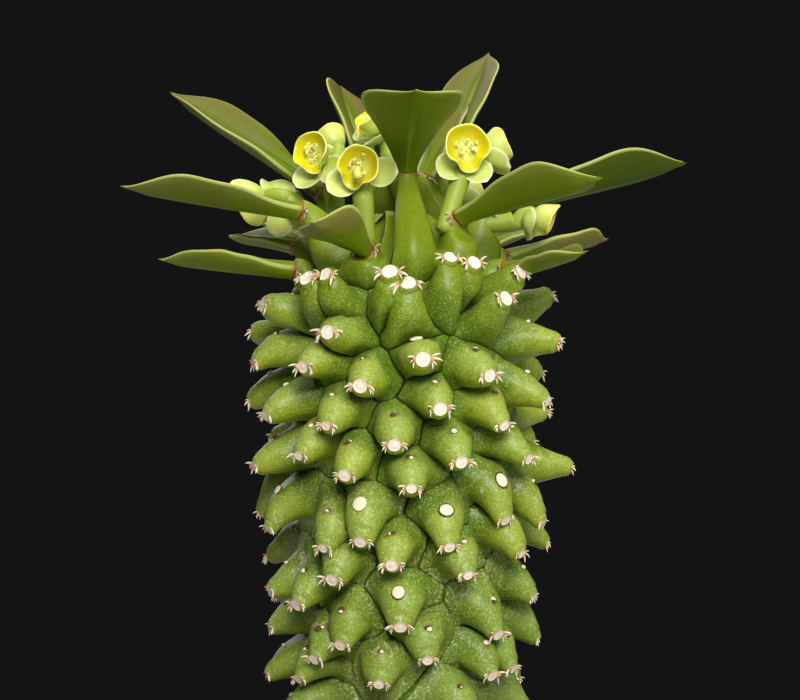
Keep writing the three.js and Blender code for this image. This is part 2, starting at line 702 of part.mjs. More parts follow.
// The green body of a flower head: its stalk, a pedicel to each cup and two bracts under it.
function makeHead(name, head) {
  const root = new THREE.Vector3(...head.root);
  const fork = new THREE.Vector3(...head.fork);
  const main = new THREE.LineCurve3(root, fork.clone().addScaledVector(UP, 0.6));
  let body = solidOf(stalkGeometry(main, 0.9, PEDUNCLE_RADIUS));
  for (const cup of head.cups) {
    const { out } = flowerAxes(cup);
    const seat = new THREE.Vector3(...cup.at).addScaledVector(out, -CUP_DEPTH - SEAT_GAP);
    const knee = seat.clone().addScaledVector(out, -2);
    const start = fork.clone().addScaledVector(knee.clone().sub(fork).normalize(), -0.6);
    const pedicel = new THREE.QuadraticBezierCurve3(start, knee, seat);
    body = body.add(solidOf(stalkGeometry(pedicel, PEDICEL_RADIUS * 1.25, PEDICEL_RADIUS)));
    for (const lean of cup.leans ?? BRACT_LEANS) body = body.add(solidOf(bractGeometry(cup, lean)));
  }
  return named(name, geometryOf(body), BRACT_SKIN);
}

const tubercles = allTubercles();
const plant = new THREE.Group();
plant.add(makePot(), makeSoil(), makeStem(tubercles));
tubercles.filter((one) => one.leaf).forEach((one, i) => {
  plant.add(makeLeaf(`leaf_${String(i + 1).padStart(2, "0")}`, one));
});
HEADS.forEach((head, i) => {
  plant.add(makeHead(`flower_head_${i + 1}`, head));
  head.cups.forEach((cup, j) => plant.add(makeCup(`flower_cup_${i + 1}_${j + 1}`, cup)));
});

export default plant;
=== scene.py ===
"""The looks of a potted succulent spurge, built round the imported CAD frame.

The stem's tubercles, the leaves, the flowers, the soil and the pot follow the same driving
dimensions as the solids and take their places. Sizes are in millimetres here, and each mesh
is made in metres.
"""

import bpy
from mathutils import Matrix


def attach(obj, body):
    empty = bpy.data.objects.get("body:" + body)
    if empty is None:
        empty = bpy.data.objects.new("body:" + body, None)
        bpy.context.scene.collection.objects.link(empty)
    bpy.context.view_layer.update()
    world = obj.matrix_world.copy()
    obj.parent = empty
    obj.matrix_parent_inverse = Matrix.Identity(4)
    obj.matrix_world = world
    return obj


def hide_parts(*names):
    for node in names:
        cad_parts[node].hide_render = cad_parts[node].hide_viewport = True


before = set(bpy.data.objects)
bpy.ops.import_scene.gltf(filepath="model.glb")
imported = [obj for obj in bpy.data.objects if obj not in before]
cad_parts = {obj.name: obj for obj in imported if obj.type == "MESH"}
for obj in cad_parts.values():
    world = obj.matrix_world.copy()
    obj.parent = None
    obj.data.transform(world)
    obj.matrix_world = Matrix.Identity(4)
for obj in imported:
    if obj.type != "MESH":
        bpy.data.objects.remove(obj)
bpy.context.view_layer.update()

import logging
import math
from collections.abc import Sequence
from dataclasses import dataclass, field
from enum import Enum

import bpy
import numpy as np
from mathutils import Vector, noise

LOG = logging.getLogger("spurge")
MM = 0.001
DEGREE = math.pi / 180
UP = np.array([0.0, 0.0, 1.0])


# Shape helpers

class Draws:
    """The same random draws each time, from a small seeded generator."""

    FACTOR = 1664525
    SHIFT = 1013904223
    STATES = 2 ** 32

    def __init__(self, seed: int) -> None:
        """Starts the generator; the same seed gives the same draws."""
        self.state = seed

    def next(self, low: float = 0.0, high: float = 1.0) -> float:
        """Draws a number from low up to, and without, high."""
        self.state = (self.state * self.FACTOR + self.SHIFT) % self.STATES
        return low + (high - low) * self.state / self.STATES


def smoothstep(value: np.ndarray | float, low: float, high: float) -> np.ndarray | float:
    """Blends from 0 at low to 1 at high along an S curve."""
    share = np.clip((value - low) / (high - low), 0.0, 1.0)
    return share * share * (3 - 2 * share)


def unit(vector: np.ndarray) -> np.ndarray:
    """Gives vectors the length 1."""
    return vector / np.linalg.norm(vector, axis=-1, keepdims=True)


def polar(turn: float, radius: float, height: float) -> np.ndarray:
    """A point from its turn in degrees from straight ahead, its radius and its height."""
    angle = turn * DEGREE
    return np.array([radius * math.sin(angle), -radius * math.cos(angle), height])


def heading(turn: float, rise: float) -> np.ndarray:
    """A direction from its heading and its rise, in degrees."""
    return polar(turn, math.cos(rise * DEGREE), math.sin(rise * DEGREE))


def circle_of(sides: int) -> np.ndarray:
    """Points round a level circle of radius 1, from straight ahead on by the right."""
    angles = np.linspace(0, 2 * math.pi, sides, endpoint=False)
    return np.stack([np.sin(angles), -np.cos(angles), 0 * angles], axis=1)


def turned_about(vector: np.ndarray, axis: np.ndarray, angle: float) -> np.ndarray:
    """Turns a vector about an axis of length 1.

    Args:
        vector: what is turned.
        axis: the axis.
        angle: radians.

    Returns:
        The turned vector.
    """
    cosine = math.cos(angle)
    sine = math.sin(angle)
    return vector * cosine + np.cross(axis, vector) * sine + axis * (axis @ vector) * (1 - cosine)


def carried(vector: np.ndarray, start: np.ndarray, end: np.ndarray) -> np.ndarray:
    """Turns a vector by the shortest turn that brings one direction to another.

    Args:
        vector: what is turned.
        start: the direction before, of length 1.
        end: the direction after, of length 1.

    Returns:
        The turned vector.
    """
    axis = np.cross(start, end)
    cosine = float(start @ end)
    return vector * cosine + np.cross(axis, vector) + axis * (axis @ vector) / (1 + cosine)


def wobble(points: np.ndarray, size: float, amount: float) -> np.ndarray:
    """A smooth random number for each point, up to amount either way, with swells of that size."""
    return amount * np.array([noise.noise(Vector(point / size)) for point in points])


class Bezier:
    """A smooth curve through space from its control points."""

    SAMPLES = 201

    def __init__(self, *controls: np.ndarray) -> None:
        """Keeps the control points and measures the curve.

        Args:
            controls: three or four points in millimetres.
        """
        self.controls = np.array(controls, float)
        self.shares = np.linspace(0, 1, self.SAMPLES)
        gone = np.linalg.norm(np.diff(self.at(self.shares), axis=0), axis=1)
        self.lengths = np.concatenate([[0], np.cumsum(gone)])

    @staticmethod
    def _sum(controls: np.ndarray, share: np.ndarray) -> np.ndarray:
        """Adds up control points by their Bernstein weights.

        Args:
            controls: the points.
            share: shares of the curve's own parameter.

        Returns:
            A point for each share.
        """
        order = len(controls) - 1
        share = np.asarray(share, float)[..., None]
        total = np.zeros(share.shape[:-1] + (3,))
        for k, control in enumerate(controls):
            total = total + math.comb(order, k) * share ** k * (1 - share) ** (order - k) * control
        return total

    def at(self, share: np.ndarray) -> np.ndarray:
        """Points at shares of the curve's own parameter."""
        return self._sum(self.controls, share)

    def tangent(self, share: np.ndarray) -> np.ndarray:
        """Directions at shares of the curve's own parameter."""
        return unit(self._sum(np.diff(self.controls, axis=0), share))

    def even(self, share: np.ndarray) -> np.ndarray:
        """The curve's own parameter at shares of its length."""
        return np.interp(np.asarray(share) * self.lengths[-1], self.lengths, self.shares)


def placed(name: str, data: bpy.types.ID) -> bpy.types.Object:
    """Makes an object, at the origin, and puts it in the scene."""
    made = bpy.data.objects.new(name, data)
    bpy.context.scene.collection.objects.link(made)
    return made


class Shell:
    """A mesh in the making: points in millimetres, faces, and one number a point for each mark."""

    def __init__(self, *marks: str) -> None:
        """Starts an empty mesh.

        Args:
            marks: names of the numbers that each point carries for the materials.
        """
        self.points: list[np.ndarray] = []
        self.faces: list[tuple[int, ...]] = []
        self.marks: dict[str, list[np.ndarray]] = {mark: [] for mark in marks}
        self.creases: set[int] = set()
        self.count = 0

    def add(self, points: np.ndarray, **marks: np.ndarray | float) -> np.ndarray:
        """Adds points.

        Args:
            points: places in millimetres.
            marks: a number, or one number a point, for any of the marks.

        Returns:
            The new points' numbers.
        """
        points = np.atleast_2d(points)
        for mark, column in self.marks.items():
            column.append(np.broadcast_to(np.asarray(marks.get(mark, 0.0), float), len(points)))
        self.points.append(points)
        self.count += len(points)
        return np.arange(self.count - len(points), self.count)

    def point(self, place: np.ndarray, **marks: float) -> int:
        """Adds one point and gives its number."""
        return int(self.add(place, **marks)[0])

    def band(self, outer: Sequence[int], inner: Sequence[int]) -> None:
        """Joins two rings of as many points with faces."""
        for i in range(len(outer)):
            j = (i + 1) % len(outer)
            self.faces.append((outer[i], outer[j], inner[j], inner[i]))

    def fan(self, ring: Sequence[int], centre: int) -> None:
        """Closes a ring with faces to one point."""
        for i in range(len(ring)):
            self.faces.append((ring[i], ring[(i + 1) % len(ring)], centre))

    def loft(self, rings: Sequence[Sequence[int]], foot: int, top: int) -> None:
        """Joins rings in order and closes both ends.

        Args:
            rings: rings of as many points.
            foot: the point that closes the first ring.
            top: the point that closes the last ring.
        """
        self.fan(rings[0][::-1], foot)
        for outer, inner in zip(rings, rings[1:]):
            self.band(outer, inner)
        self.fan(rings[-1], top)

    def build(self, name: str, finish: "Finish | None" = None) -> bpy.types.Object:
        """Makes the mesh and its object.

        Args:
            name: the object's name.
            finish: what the whole of it is finished with.

        Returns:
            The object, at the origin.
        """
        mesh = bpy.data.meshes.new(name)
        mesh.from_pydata(np.concatenate(self.points) * MM, [], self.faces)
        for mark, columns in self.marks.items():
            layer = mesh.attributes.new(mark, "FLOAT", "POINT")
            layer.data.foreach_set("value", np.concatenate(columns).astype(np.float32))
        mesh.shade_smooth()
        if self.creases:
            sharp = mesh.attributes.new("sharp_edge", "BOOLEAN", "EDGE")
            for edge in mesh.edges:
                sharp.data[edge.index].value = all(v in self.creases for v in edge.vertices)
        mesh.validate()
        if finish is not None:
            mesh.materials.append(finish.material())
        return placed(name, mesh)


# Node helpers

class Wire:
    """A node's output that expressions can work with; each operator adds a Math node."""

    def __init__(self, graph: "Graph", socket: bpy.types.NodeSocket) -> None:
        """Keeps the output socket and the graph that its node stands in."""
        self.graph = graph
        self.socket = socket

    def maths(self, operation: str, *values: "Wire | float") -> "Wire":
        """Adds a Math node for an operation on values, in the order of its sockets."""
        return self.graph.add("ShaderNodeMath", {"operation": operation}, dict(enumerate(values)))

    def __add__(self, other: "Wire | float") -> "Wire":
        """The sum."""
        return self.maths("ADD", self, other)

    __radd__ = __add__

    def __sub__(self, other: "Wire | float") -> "Wire":
        """The difference."""
        return self.maths("SUBTRACT", self, other)

    def __rsub__(self, other: "Wire | float") -> "Wire":
        """The difference, the other way round."""
        return self.maths("SUBTRACT", other, self)

    def __mul__(self, other: "Wire | float") -> "Wire":
        """The product."""
        return self.maths("MULTIPLY", self, other)

    __rmul__ = __mul__

    def __abs__(self) -> "Wire":
        """The value without its sign."""
        return self.maths("ABSOLUTE", self)

    def power(self, exponent: float) -> "Wire":
        """The value raised to an exponent."""
        return self.maths("POWER", self, exponent)

    def ease(self, low: float, high: float) -> "Wire":
        """Blends from 0 at low to 1 at high along an S curve; high may lie below low."""
        settings = {"interpolation_type": "SMOOTHSTEP"}
        if high > low:
            return self.graph.add("ShaderNodeMapRange", settings, {0: self, 1: low, 2: high})
        return 1 - self.graph.add("ShaderNodeMapRange", settings, {0: self, 1: high, 2: low})


class Graph:
    """A node tree in the making, for a material or for Geometry Nodes."""

    def __init__(self, tree: bpy.types.NodeTree) -> None:
        """Keeps the tree that nodes are added to."""
        self.tree = tree

    def add(
        self, kind: str, settings: dict[str, object] | None = None,
        sockets: dict[str | int, object] | None = None, output: str | int = 0
    ) -> Wire:
        """Adds a node.

        Args:
            kind: the node's type.
            settings: its properties, set before its sockets; "stops" are a ramp's stops.
            sockets: the values or wires of its inputs, by name or number.
            output: which output to return.

        Returns:
            That output.
        """
        node = self.tree.nodes.new(kind)
        for name, value in (settings or {}).items():
            if name == "stops":
                self._set_stops(node.color_ramp.elements, value)
            else:
                setattr(node, name, value)
        for key, value in (sockets or {}).items():
            if isinstance(value, Wire):
                self.tree.links.new(value.socket, node.inputs[key])
            else:
                node.inputs[key].default_value = value
        return Wire(self, node.outputs[output]) if node.outputs else None

    @staticmethod
    def _set_stops(elements: bpy.types.ColorRampElements, stops: Sequence[tuple]) -> None:
        """Gives a ramp its stops.

        Args:
            elements: the stops that the ramp has.
            stops: a place and a colour for each that it needs.
        """
        while len(elements) < len(stops):
            elements.new(0.5)
        for element, (place, colour) in zip(elements, stops):
            element.position = place
            element.color = colour

    def mix(self, share: Wire | float, first: object, second: object) -> Wire:
        """Mixes two colours, each a value or a wire, by the share of the second."""
        sockets = {0: share, 6: first, 7: second}
        return self.add("ShaderNodeMix", {"data_type": "RGBA"}, sockets, 2)

    def mark(self, name: str) -> Wire:
        """A number that the mesh carries."""
        return self.add("ShaderNodeAttribute", {"attribute_name": name}, output="Fac")

    def marks(self, *names: str) -> list[Wire]:
        """Several numbers that the mesh carries, in the order of their names."""
        return [self.mark(name) for name in names]

    def place(self) -> Wire:
        """Where a point of the surface is on its object, in metres."""
        return self.add("ShaderNodeTexCoord", output="Object")

    def height(self) -> Wire:
        """How high a point of the surface is, in metres."""
        return self.add("ShaderNodeSeparateXYZ", {}, {0: self.place()}, "Z")

    def grain(self, size: float, detail: float = 3, stretch: tuple = (1, 1, 1)) -> Wire:
        """Noise over the object.

        Args:
            size: how wide its swells are, in millimetres.
            detail: how many finer layers it has.
            stretch: how many times finer it is along each axis.

        Returns:
            A number about 0.5.
        """
        place = self.place()
        if stretch != (1, 1, 1):
            place = self.add("ShaderNodeMapping", {}, {"Vector": place, "Scale": stretch})
        sockets = {"Vector": place, "Scale": 1 / (size * MM), "Detail": detail}
        return self.add("ShaderNodeTexNoise", {}, sockets)

    def cells(self, size: float, output: str = "Distance") -> Wire:
        """Cells over the object, of a size in millimetres, by one of the node's outputs."""
        sockets = {"Vector": self.place(), "Scale": 1 / (size * MM)}
        return self.add("ShaderNodeTexVoronoi", {}, sockets, output)


def shade(red: int, green: int, blue: int) -> tuple[float, float, float, float]:
    """A colour from its display values.

    Args:
        red: from 0 to 255.
        green: from 0 to 255.
        blue: from 0 to 255.

    Returns:
        The colour in linear light.
    """
    def linear(value: int) -> float:
        """One channel in linear light."""
        share = value / 255
        return share / 12.92 if share <= 0.04045 else ((share + 0.055) / 1.055) ** 2.4

    return (linear(red), linear(green), linear(blue), 1.0)


# Finishes

@dataclass(frozen=True)
class Finish:
    """A surface's finish, which makes its material once; roughness is that of its smoother parts."""

    name: str
    roughness: float = 0.6
    specular: float = 0.5
    subsurface: float = 0.0
    glow_depth: float = 1.2
    glow: tuple[float, float, float] = (0.8, 1.0, 0.3)

    def material(self) -> bpy.types.Material:
        """Makes the material at the first call.

        Returns:
            The material, the same one each time.
        """
        made = bpy.data.materials.get(self.name)
        if made is not None:
            return made
        made = bpy.data.materials.new(self.name)
        made.use_nodes = True
        graph = Graph(made.node_tree)
        shader = made.node_tree.nodes["Principled BSDF"]
        shader.inputs["Roughness"].default_value = self.roughness
        shader.inputs["Specular IOR Level"].default_value = self.specular
        if self.subsurface:
            shader.inputs["Subsurface Weight"].default_value = self.subsurface
            shader.inputs["Subsurface Radius"].default_value = self.glow
            shader.inputs["Subsurface Scale"].default_value = self.glow_depth * MM
        for socket, wire in self.wires(graph).items():
            graph.tree.links.new(wire.socket, shader.inputs[socket])
        return made

    def wires(self, graph: Graph) -> dict[str, Wire]:
        """What changes over the surface.

        Args:
            graph: the material's node tree.

        Returns:
            The wires, by the shader's socket.
        """
        raise NotImplementedError

    def coat(
        self, colour: Wire, rougher: Wire, relief: Wire, depth: float, strength: float
    ) -> dict[str, Wire]:
        """Gathers what changes over a surface with relief.

        Args:
            colour: its colour.
            rougher: how much rougher it is than its smoother parts.
            relief: its heights, from 0 to 1.
            depth: how deep that is, in millimetres.
            strength: how much of the relief shows.

        Returns:
            The wires, by the shader's socket.
        """
        sockets = {"Height": relief, "Distance": depth * MM, "Strength": strength}
        bump = colour.graph.add("ShaderNodeBump", {}, sockets)
        return {"Base Color": colour, "Roughness": self.roughness + rougher, "Normal": bump}


@dataclass(frozen=True)
class StemSkin(Finish):
    """Green skin with paler backs, yellow-green bellies, painted shade in its creases and hollows, and pale
    scars.
    """

    name: str = "stem_flesh"
    roughness: float = 0.42
    specular: float = 0.32
    back: tuple = shade(140, 158, 62)
    belly: tuple = shade(128, 146, 16)
    young: tuple = shade(120, 138, 22)
    low_stem_green_and_shade: tuple = shade(84, 122, 40)
    shaded: tuple = shade(72, 104, 10)
    valley: tuple = shade(80, 108, 12)
    deep: tuple = shade(66, 96, 12)
    frost_and_sheen: tuple = shade(196, 208, 160)
    scar: tuple = shade(246, 238, 222)
    rim: tuple = shade(166, 122, 74)
    old: tuple = shade(140, 154, 76)
    warm: tuple = shade(166, 174, 46)
    fleck: tuple = shade(186, 198, 104)
    husk: tuple = shade(96, 64, 26)
    scar_shadow: tuple = shade(228, 214, 188)
    cork: tuple = shade(206, 198, 160)
    joint: tuple = shade(150, 104, 48)

    def wires(self, graph: Graph) -> dict[str, Wire]:
        """Paints the skin from the marks that the stem carries; heights are in metres."""
        along, dorsal, tint = graph.marks("along", "dorsal", "tint")
        scar, rim, bud, joint = graph.marks("scar", "rim", "bud", "joint")
        height = graph.height()
        cloud = graph.grain(7, 3)
        mottle = graph.grain(1.6, 4)
        grain = graph.grain(0.32, 2)
        body = graph.mix((dorsal + (cloud - 0.5) * 1.4).ease(-0.75, 0.75), self.belly, self.back)
        body = graph.mix((tint - 0.5) * 0.5 + (mottle - 0.5) * 0.6 + 0.15, body, self.warm)
        # How strong the painted shade in the hollows and creases is: full on the stem, weaker up in the
        # crown.
        hollow_shade_strength = height.ease(0.188, 0.172) * 0.6 + 0.4
        # A bluer, darker green low on the stem, partly its own colour and partly painted shade; then painted
        # shade over the rows under the crown's leaves.
        body = graph.mix(height.ease(0.146, 0.11) * 0.5, body, self.low_stem_green_and_shade)
        body = graph.mix(height.ease(0.165, 0.176) * height.ease(0.192, 0.182) * 0.55, body, self.shaded)
        # Painted shade: darker green towards each tubercle's foot, in the hollows between tubercles.
        low = (along + (cloud - 0.5) * 1.2 + (mottle - 0.5) * 0.4).ease(0.7, 0.0)
        body = graph.mix(low * hollow_shade_strength, body, self.valley)
        body = graph.mix(grain.ease(0.5, 0.68) * 0.4, body, self.fleck)
        body = graph.mix(grain.ease(0.5, 0.34) * 0.3, body, self.valley)
        aged = height.ease(0.125, 0.088) * (0.1 + cloud * 0.5)
        body = graph.mix(aged, body, self.old)
        rough_skin = height.ease(0.184, 0.174)
        # Pale speckle on the tubercles' backs: partly the skin's frosty bloom, partly a painted sheen.
        dust = graph.grain(0.42, 2).ease(0.56, 0.74) * dorsal.ease(-0.1, 0.9) * rough_skin * 0.5
        body = graph.mix(dust, body, self.frost_and_sheen)
        body = graph.mix((1 - rough_skin) * 0.6, body, self.young)
        # Painted shade in the crease lines between tubercles.
        crease = along.ease(0.035, 0.0)
        body = graph.mix(crease * hollow_shade_strength, body, self.deep)
        line = abs(graph.grain(2.2, 3, (1, 1, 0.6)) - 0.5).ease(0.014, 0.004)
        scratch = line * graph.grain(4.0, 2).ease(0.55, 0.62) * height.ease(0.155, 0.14)
        crust = graph.grain(0.5, 3).ease(0.54, 0.66) * along.ease(0.3, 0.02) * height.ease(0.165, 0.13)
        body = graph.mix(crust * 0.5, body, self.cork)
        body = graph.mix(scratch * 0.7, body, self.cork)
        body = graph.mix(bud, body, self.husk)
        body = graph.mix(joint, body, self.joint)
        body = graph.mix(rim, body, self.rim)
        pale = graph.mix(graph.grain(0.7, 4).ease(0.35, 0.7), self.scar, self.scar_shadow)
        body = graph.mix(scar, body, pale)
        pores = graph.cells(0.5).power(1.5) * 0.5 + graph.grain(0.3, 3)
        rougher = dust * 0.3 + scar * 0.4 + (mottle - 0.5) * 0.2
        return self.coat(body, rougher, pores, 0.05, 0.5)


@dataclass(frozen=True)
class LeafSkin(Finish):
    """Olive leaf skin with a pale edge and midrib, a brown blush and painted shade."""

    name: str = "leaf_flesh"
    roughness: float = 0.36
    specular: float = 0.09
    upper: tuple = shade(92, 114, 2)
    lower: tuple = shade(98, 122, 2)
    pale: tuple = shade(182, 190, 108)
    margin: tuple = shade(146, 160, 56)
    blush: tuple = shade(126, 104, 66)
    shadow: tuple = shade(44, 64, 2)
    root: tuple = shade(140, 162, 30)
    dusk: tuple = shade(78, 102, 4)
    dapple: tuple = shade(120, 138, 20)
    joint: tuple = shade(158, 116, 52)

    def wires(self, graph: Graph) -> dict[str, Wire]:
        """Paints the leaf from the marks that it carries."""
        along, top, blush, deep = graph.marks("along", "top", "blush", "deep")
        across = abs(graph.mark("across"))
        cloud = graph.grain(6, 3)
        mottle = graph.grain(0.9, 4)
        body = graph.mix(top, self.lower, self.upper)
        body = graph.mix(along.ease(0.35, 0.0) * 0.45, body, self.root)
        body = graph.mix((cloud - 0.35) * 0.8, body, self.dusk)
        body = graph.mix((mottle - 0.5) * 0.6 + 0.1, body, self.dapple)
        body = graph.mix(across.ease(0.62, 0.96) * along.ease(0.1, 0.5) * 0.4, body, self.margin)
        flush = blush * (cloud + along * 0.7 + across * 0.5 - 0.75).ease(0.0, 0.7)
        speckle = graph.grain(0.45, 2).ease(0.36, 0.62) * 0.55 + 0.45
        body = graph.mix(flush * speckle, body, self.blush)
        # Painted shade: a darker green by each leaf's deep share, partly its own colour and partly the shade
        # that it stands in.
        body = graph.mix(deep * 0.8, body, self.shadow)
        rib = across.ease(0.1, 0.0) * along.ease(1.0, 0.3) * (0.2 + top * 0.4)
        body = graph.mix(rib, body, self.pale)
        edge = across.ease(0.92, 0.98) * 0.8
        body = graph.mix(edge, body, self.pale)
        base = along.ease(0.045, 0.0)
        body = graph.mix(base * 0.8, body, self.joint)
        relief = graph.grain(0.5, 3) + graph.cells(0.8) * 0.3
        return self.coat(body, mottle * 0.16, relief, 0.04, 0.4)


@dataclass(frozen=True)
class BractSkin(Finish):
    """Pale yellow-green bracts and flower stalks with whitish edges."""

    name: str = "bract_flesh"
    roughness: float = 0.44
    subsurface: float = 0.15
    stalk: tuple = shade(136, 160, 34)
    stalk_light: tuple = shade(160, 172, 70)
    blade: tuple = shade(204, 214, 116)
    green: tuple = shade(168, 188, 66)
    edge: tuple = shade(236, 240, 186)

    def wires(self, graph: Graph) -> dict[str, Wire]:
        """Paints the stalks and bracts from the marks that they carry."""
        blade, along, edge = graph.marks("blade", "along", "edge")
        cloud = graph.grain(2.2, 3)
        petal = graph.mix((along + (cloud - 0.5) * 0.6).ease(0.05, 0.75), self.green, self.blade)
        petal = graph.mix(edge.ease(0.72, 0.98) * 0.85, petal, self.edge)
        stalk = graph.mix(cloud, self.stalk, self.stalk_light)
        body = graph.mix(blade, stalk, petal)
        return self.coat(body, cloud * 0.14, graph.grain(0.5, 3), 0.04, 0.4)


@dataclass(frozen=True)
class CupSkin(Finish):
    """Saturated yellow cup with a paler rim, a cream floor and a yellow-green outer wall."""

    name: str = "cup_flesh"
    roughness: float = 0.3
    subsurface: float = 0.2
    inside: tuple = shade(216, 204, 18)
    outside: tuple = shade(204, 212, 118)
    rim: tuple = shade(236, 236, 138)
    floor: tuple = shade(206, 212, 104)
    shadow: tuple = shade(196, 190, 14)
    foot: tuple = shade(150, 170, 56)

    def wires(self, graph: Graph) -> dict[str, Wire]:
        """Paints the cup along its profile, from the foot of its outer wall to its floor."""
        profile = graph.mark("profile")
        cloud = graph.grain(2.4, 3)
        body = graph.mix(profile.ease(0.2, 0.42), self.outside, self.inside)
        body = graph.mix((cloud - 0.3) * 0.5, body, self.shadow)
        rim = profile.ease(0.3, 0.37) * profile.ease(0.48, 0.42)
        body = graph.mix(rim, body, self.rim)
        body = graph.mix(profile.ease(0.74, 0.86) * 0.9, body, self.floor)
        body = graph.mix(profile.ease(0.2, 0.0) * 0.7, body, self.foot)
        return self.coat(body, cloud * 0.16, graph.grain(0.35, 3), 0.03, 0.5)


@dataclass(frozen=True)
class SpineHorn(Finish):
    """Dry cream spines, browner at their foot."""

    name: str = "spine_horn"
    roughness: float = 0.5
    pale: tuple = shade(240, 228, 204)
    foot: tuple = shade(206, 170, 118)
    brown: tuple = shade(118, 72, 40)

    def wires(self, graph: Graph) -> dict[str, Wire]:
        """Paints the spines from the marks that they carry."""
        along, tone = graph.marks("reach", "tone")
        mottle = graph.grain(0.5, 3)
        body = graph.mix((along + (mottle - 0.5) * 0.7).ease(0.1, 0.6), self.foot, self.pale)
        body = graph.mix(tone, body, self.brown)
        return {"Base Color": body, "Roughness": self.roughness + mottle * 0.25}


@dataclass(frozen=True)
class BudHusk(Finish):
    """Small dry buds on the backs of the tubercles: cream scales over a dark brown foot."""

    name: str = "bud_husk"
    roughness: float = 0.6
    pale: tuple = shade(232, 222, 190)
    dark: tuple = shade(92, 56, 26)

    def wires(self, graph: Graph) -> dict[str, Wire]:
        """Paints each bead by its tone."""
        tone = graph.mark("tone")
        mottle = graph.grain(0.4, 3)
        body = graph.mix((tone + (mottle - 0.5) * 0.5).ease(0.4, 0.6), self.pale, self.dark)
        return {"Base Color": body, "Roughness": self.roughness + mottle * 0.3}


@dataclass(frozen=True)
class StamenCream(Finish):
    """Cream filaments with yellow anthers."""

    name: str = "stamen_cream"
    roughness: float = 0.5
    thread: tuple = shade(226, 222, 158)
    anther: tuple = shade(250, 240, 150)

    def wires(self, graph: Graph) -> dict[str, Wire]:
        """Paints the threads and the anthers."""
        tip = graph.mark("reach")
        mottle = graph.grain(0.3, 3)
        body = graph.mix(tip.ease(0.6, 1.0), self.thread, self.anther)
        return {"Base Color": body, "Roughness": self.roughness + mottle * 0.25}


@dataclass(frozen=True)
class ClayBody(Finish):
    """Unglazed clay with a soft mottle, fine grit and a lime bloom low down."""

    name: str = "clay_body"
    roughness: float = 0.8
    specular: float = 0.25
    body: tuple = shade(176, 100, 68)
    light: tuple = shade(198, 126, 90)
    dark: tuple = shade(142, 76, 52)
    bloom: tuple = shade(214, 188, 164)
    speck: tuple = shade(104, 62, 44)

    def wires(self, graph: Graph) -> dict[str, Wire]:
        """Paints the clay."""
        height = graph.height()
        cloud = graph.grain(26, 4)
        mottle = graph.grain(3, 5)
        turning = graph.grain(2.2, 2, (0.06, 0.06, 1))
        clay = graph.mix(cloud.ease(0.3, 0.7), self.dark, self.light)
        clay = graph.mix(0.45, clay, self.body)
        clay = graph.mix(mottle.ease(0.62, 0.78) * 0.5, clay, self.light)
        chalk = (cloud + mottle * 0.5 - height * 6).ease(0.42, 0.85)
        clay = graph.mix(chalk * 0.42, clay, self.bloom)
        specks = graph.cells(1.3).ease(0.2, 0.08) * mottle.ease(0.5, 0.7)
        clay = graph.mix(specks * 0.7, clay, self.speck)
        relief = graph.grain(0.6, 4) * 0.6 + turning * 0.6 - specks * 0.5
        return self.coat(clay, mottle * 0.16, relief, 0.18, 0.6)


@dataclass(frozen=True)
class SoilCrumb(Finish):
    """Dark gritty potting soil under the stones."""

    name: str = "soil_crumb"
    roughness: float = 0.86
    specular: float = 0.2
    dark: tuple = shade(58, 44, 32)
    light: tuple = shade(110, 90, 70)
    chip: tuple = shade(170, 156, 132)

    def wires(self, graph: Graph) -> dict[str, Wire]:
        """Paints the crumbs."""
        crumb = graph.cells(1.1, output="Color")
        fine = graph.grain(0.8, 5)
        body = graph.mix(fine, self.dark, self.light)
        tint = graph.add("ShaderNodeSeparateColor", {}, {0: crumb})
        body = graph.mix(tint.ease(0.86, 0.9), body, self.chip)
        relief = fine - graph.cells(1.1)
        return self.coat(body, fine * 0.12, relief, 0.4, 0.9)


@dataclass(frozen=True)
class GritStone(Finish):
    """Small stones of pumice, lava and baked clay."""

    name: str = "grit_stone"
    roughness: float = 0.82
    specular: float = 0.3
    dust: tuple = shade(222, 214, 196)
    stones: tuple[tuple, ...] = (
        (0.0, shade(92, 80, 68)), (0.22, shade(132, 114, 92)), (0.45, shade(170, 154, 128)),
        (0.66, shade(150, 98, 68)), (0.8, shade(208, 200, 180)), (1.0, shade(74, 66, 60)),
    )

    def wires(self, graph: Graph) -> dict[str, Wire]:
        """Paints each stone by its tone."""
        tone = graph.mark("tone")
        body = graph.add("ShaderNodeValToRGB", {"stops": self.stones}, {0: tone})
        mottle = graph.grain(0.7, 5)
        body = graph.mix(mottle.ease(0.4, 0.75) * 0.5, body, self.dust)
        return self.coat(body, mottle * 0.14, graph.cells(0.5) + mottle, 0.12, 0.7)


@dataclass(frozen=True)
class FloorPaper(Finish):
    """Plain pale paper."""

    name: str = "floor_paper"
    roughness: float = 0.9
    specular: float = 0.1
    dark: tuple = shade(186, 184, 180)
    light: tuple = shade(194, 192, 188)

    def wires(self, graph: Graph) -> dict[str, Wire]:
        """Paints the floor."""
        return {"Base Color": graph.mix(graph.grain(60, 2), self.dark, self.light)}


# Geometry Nodes

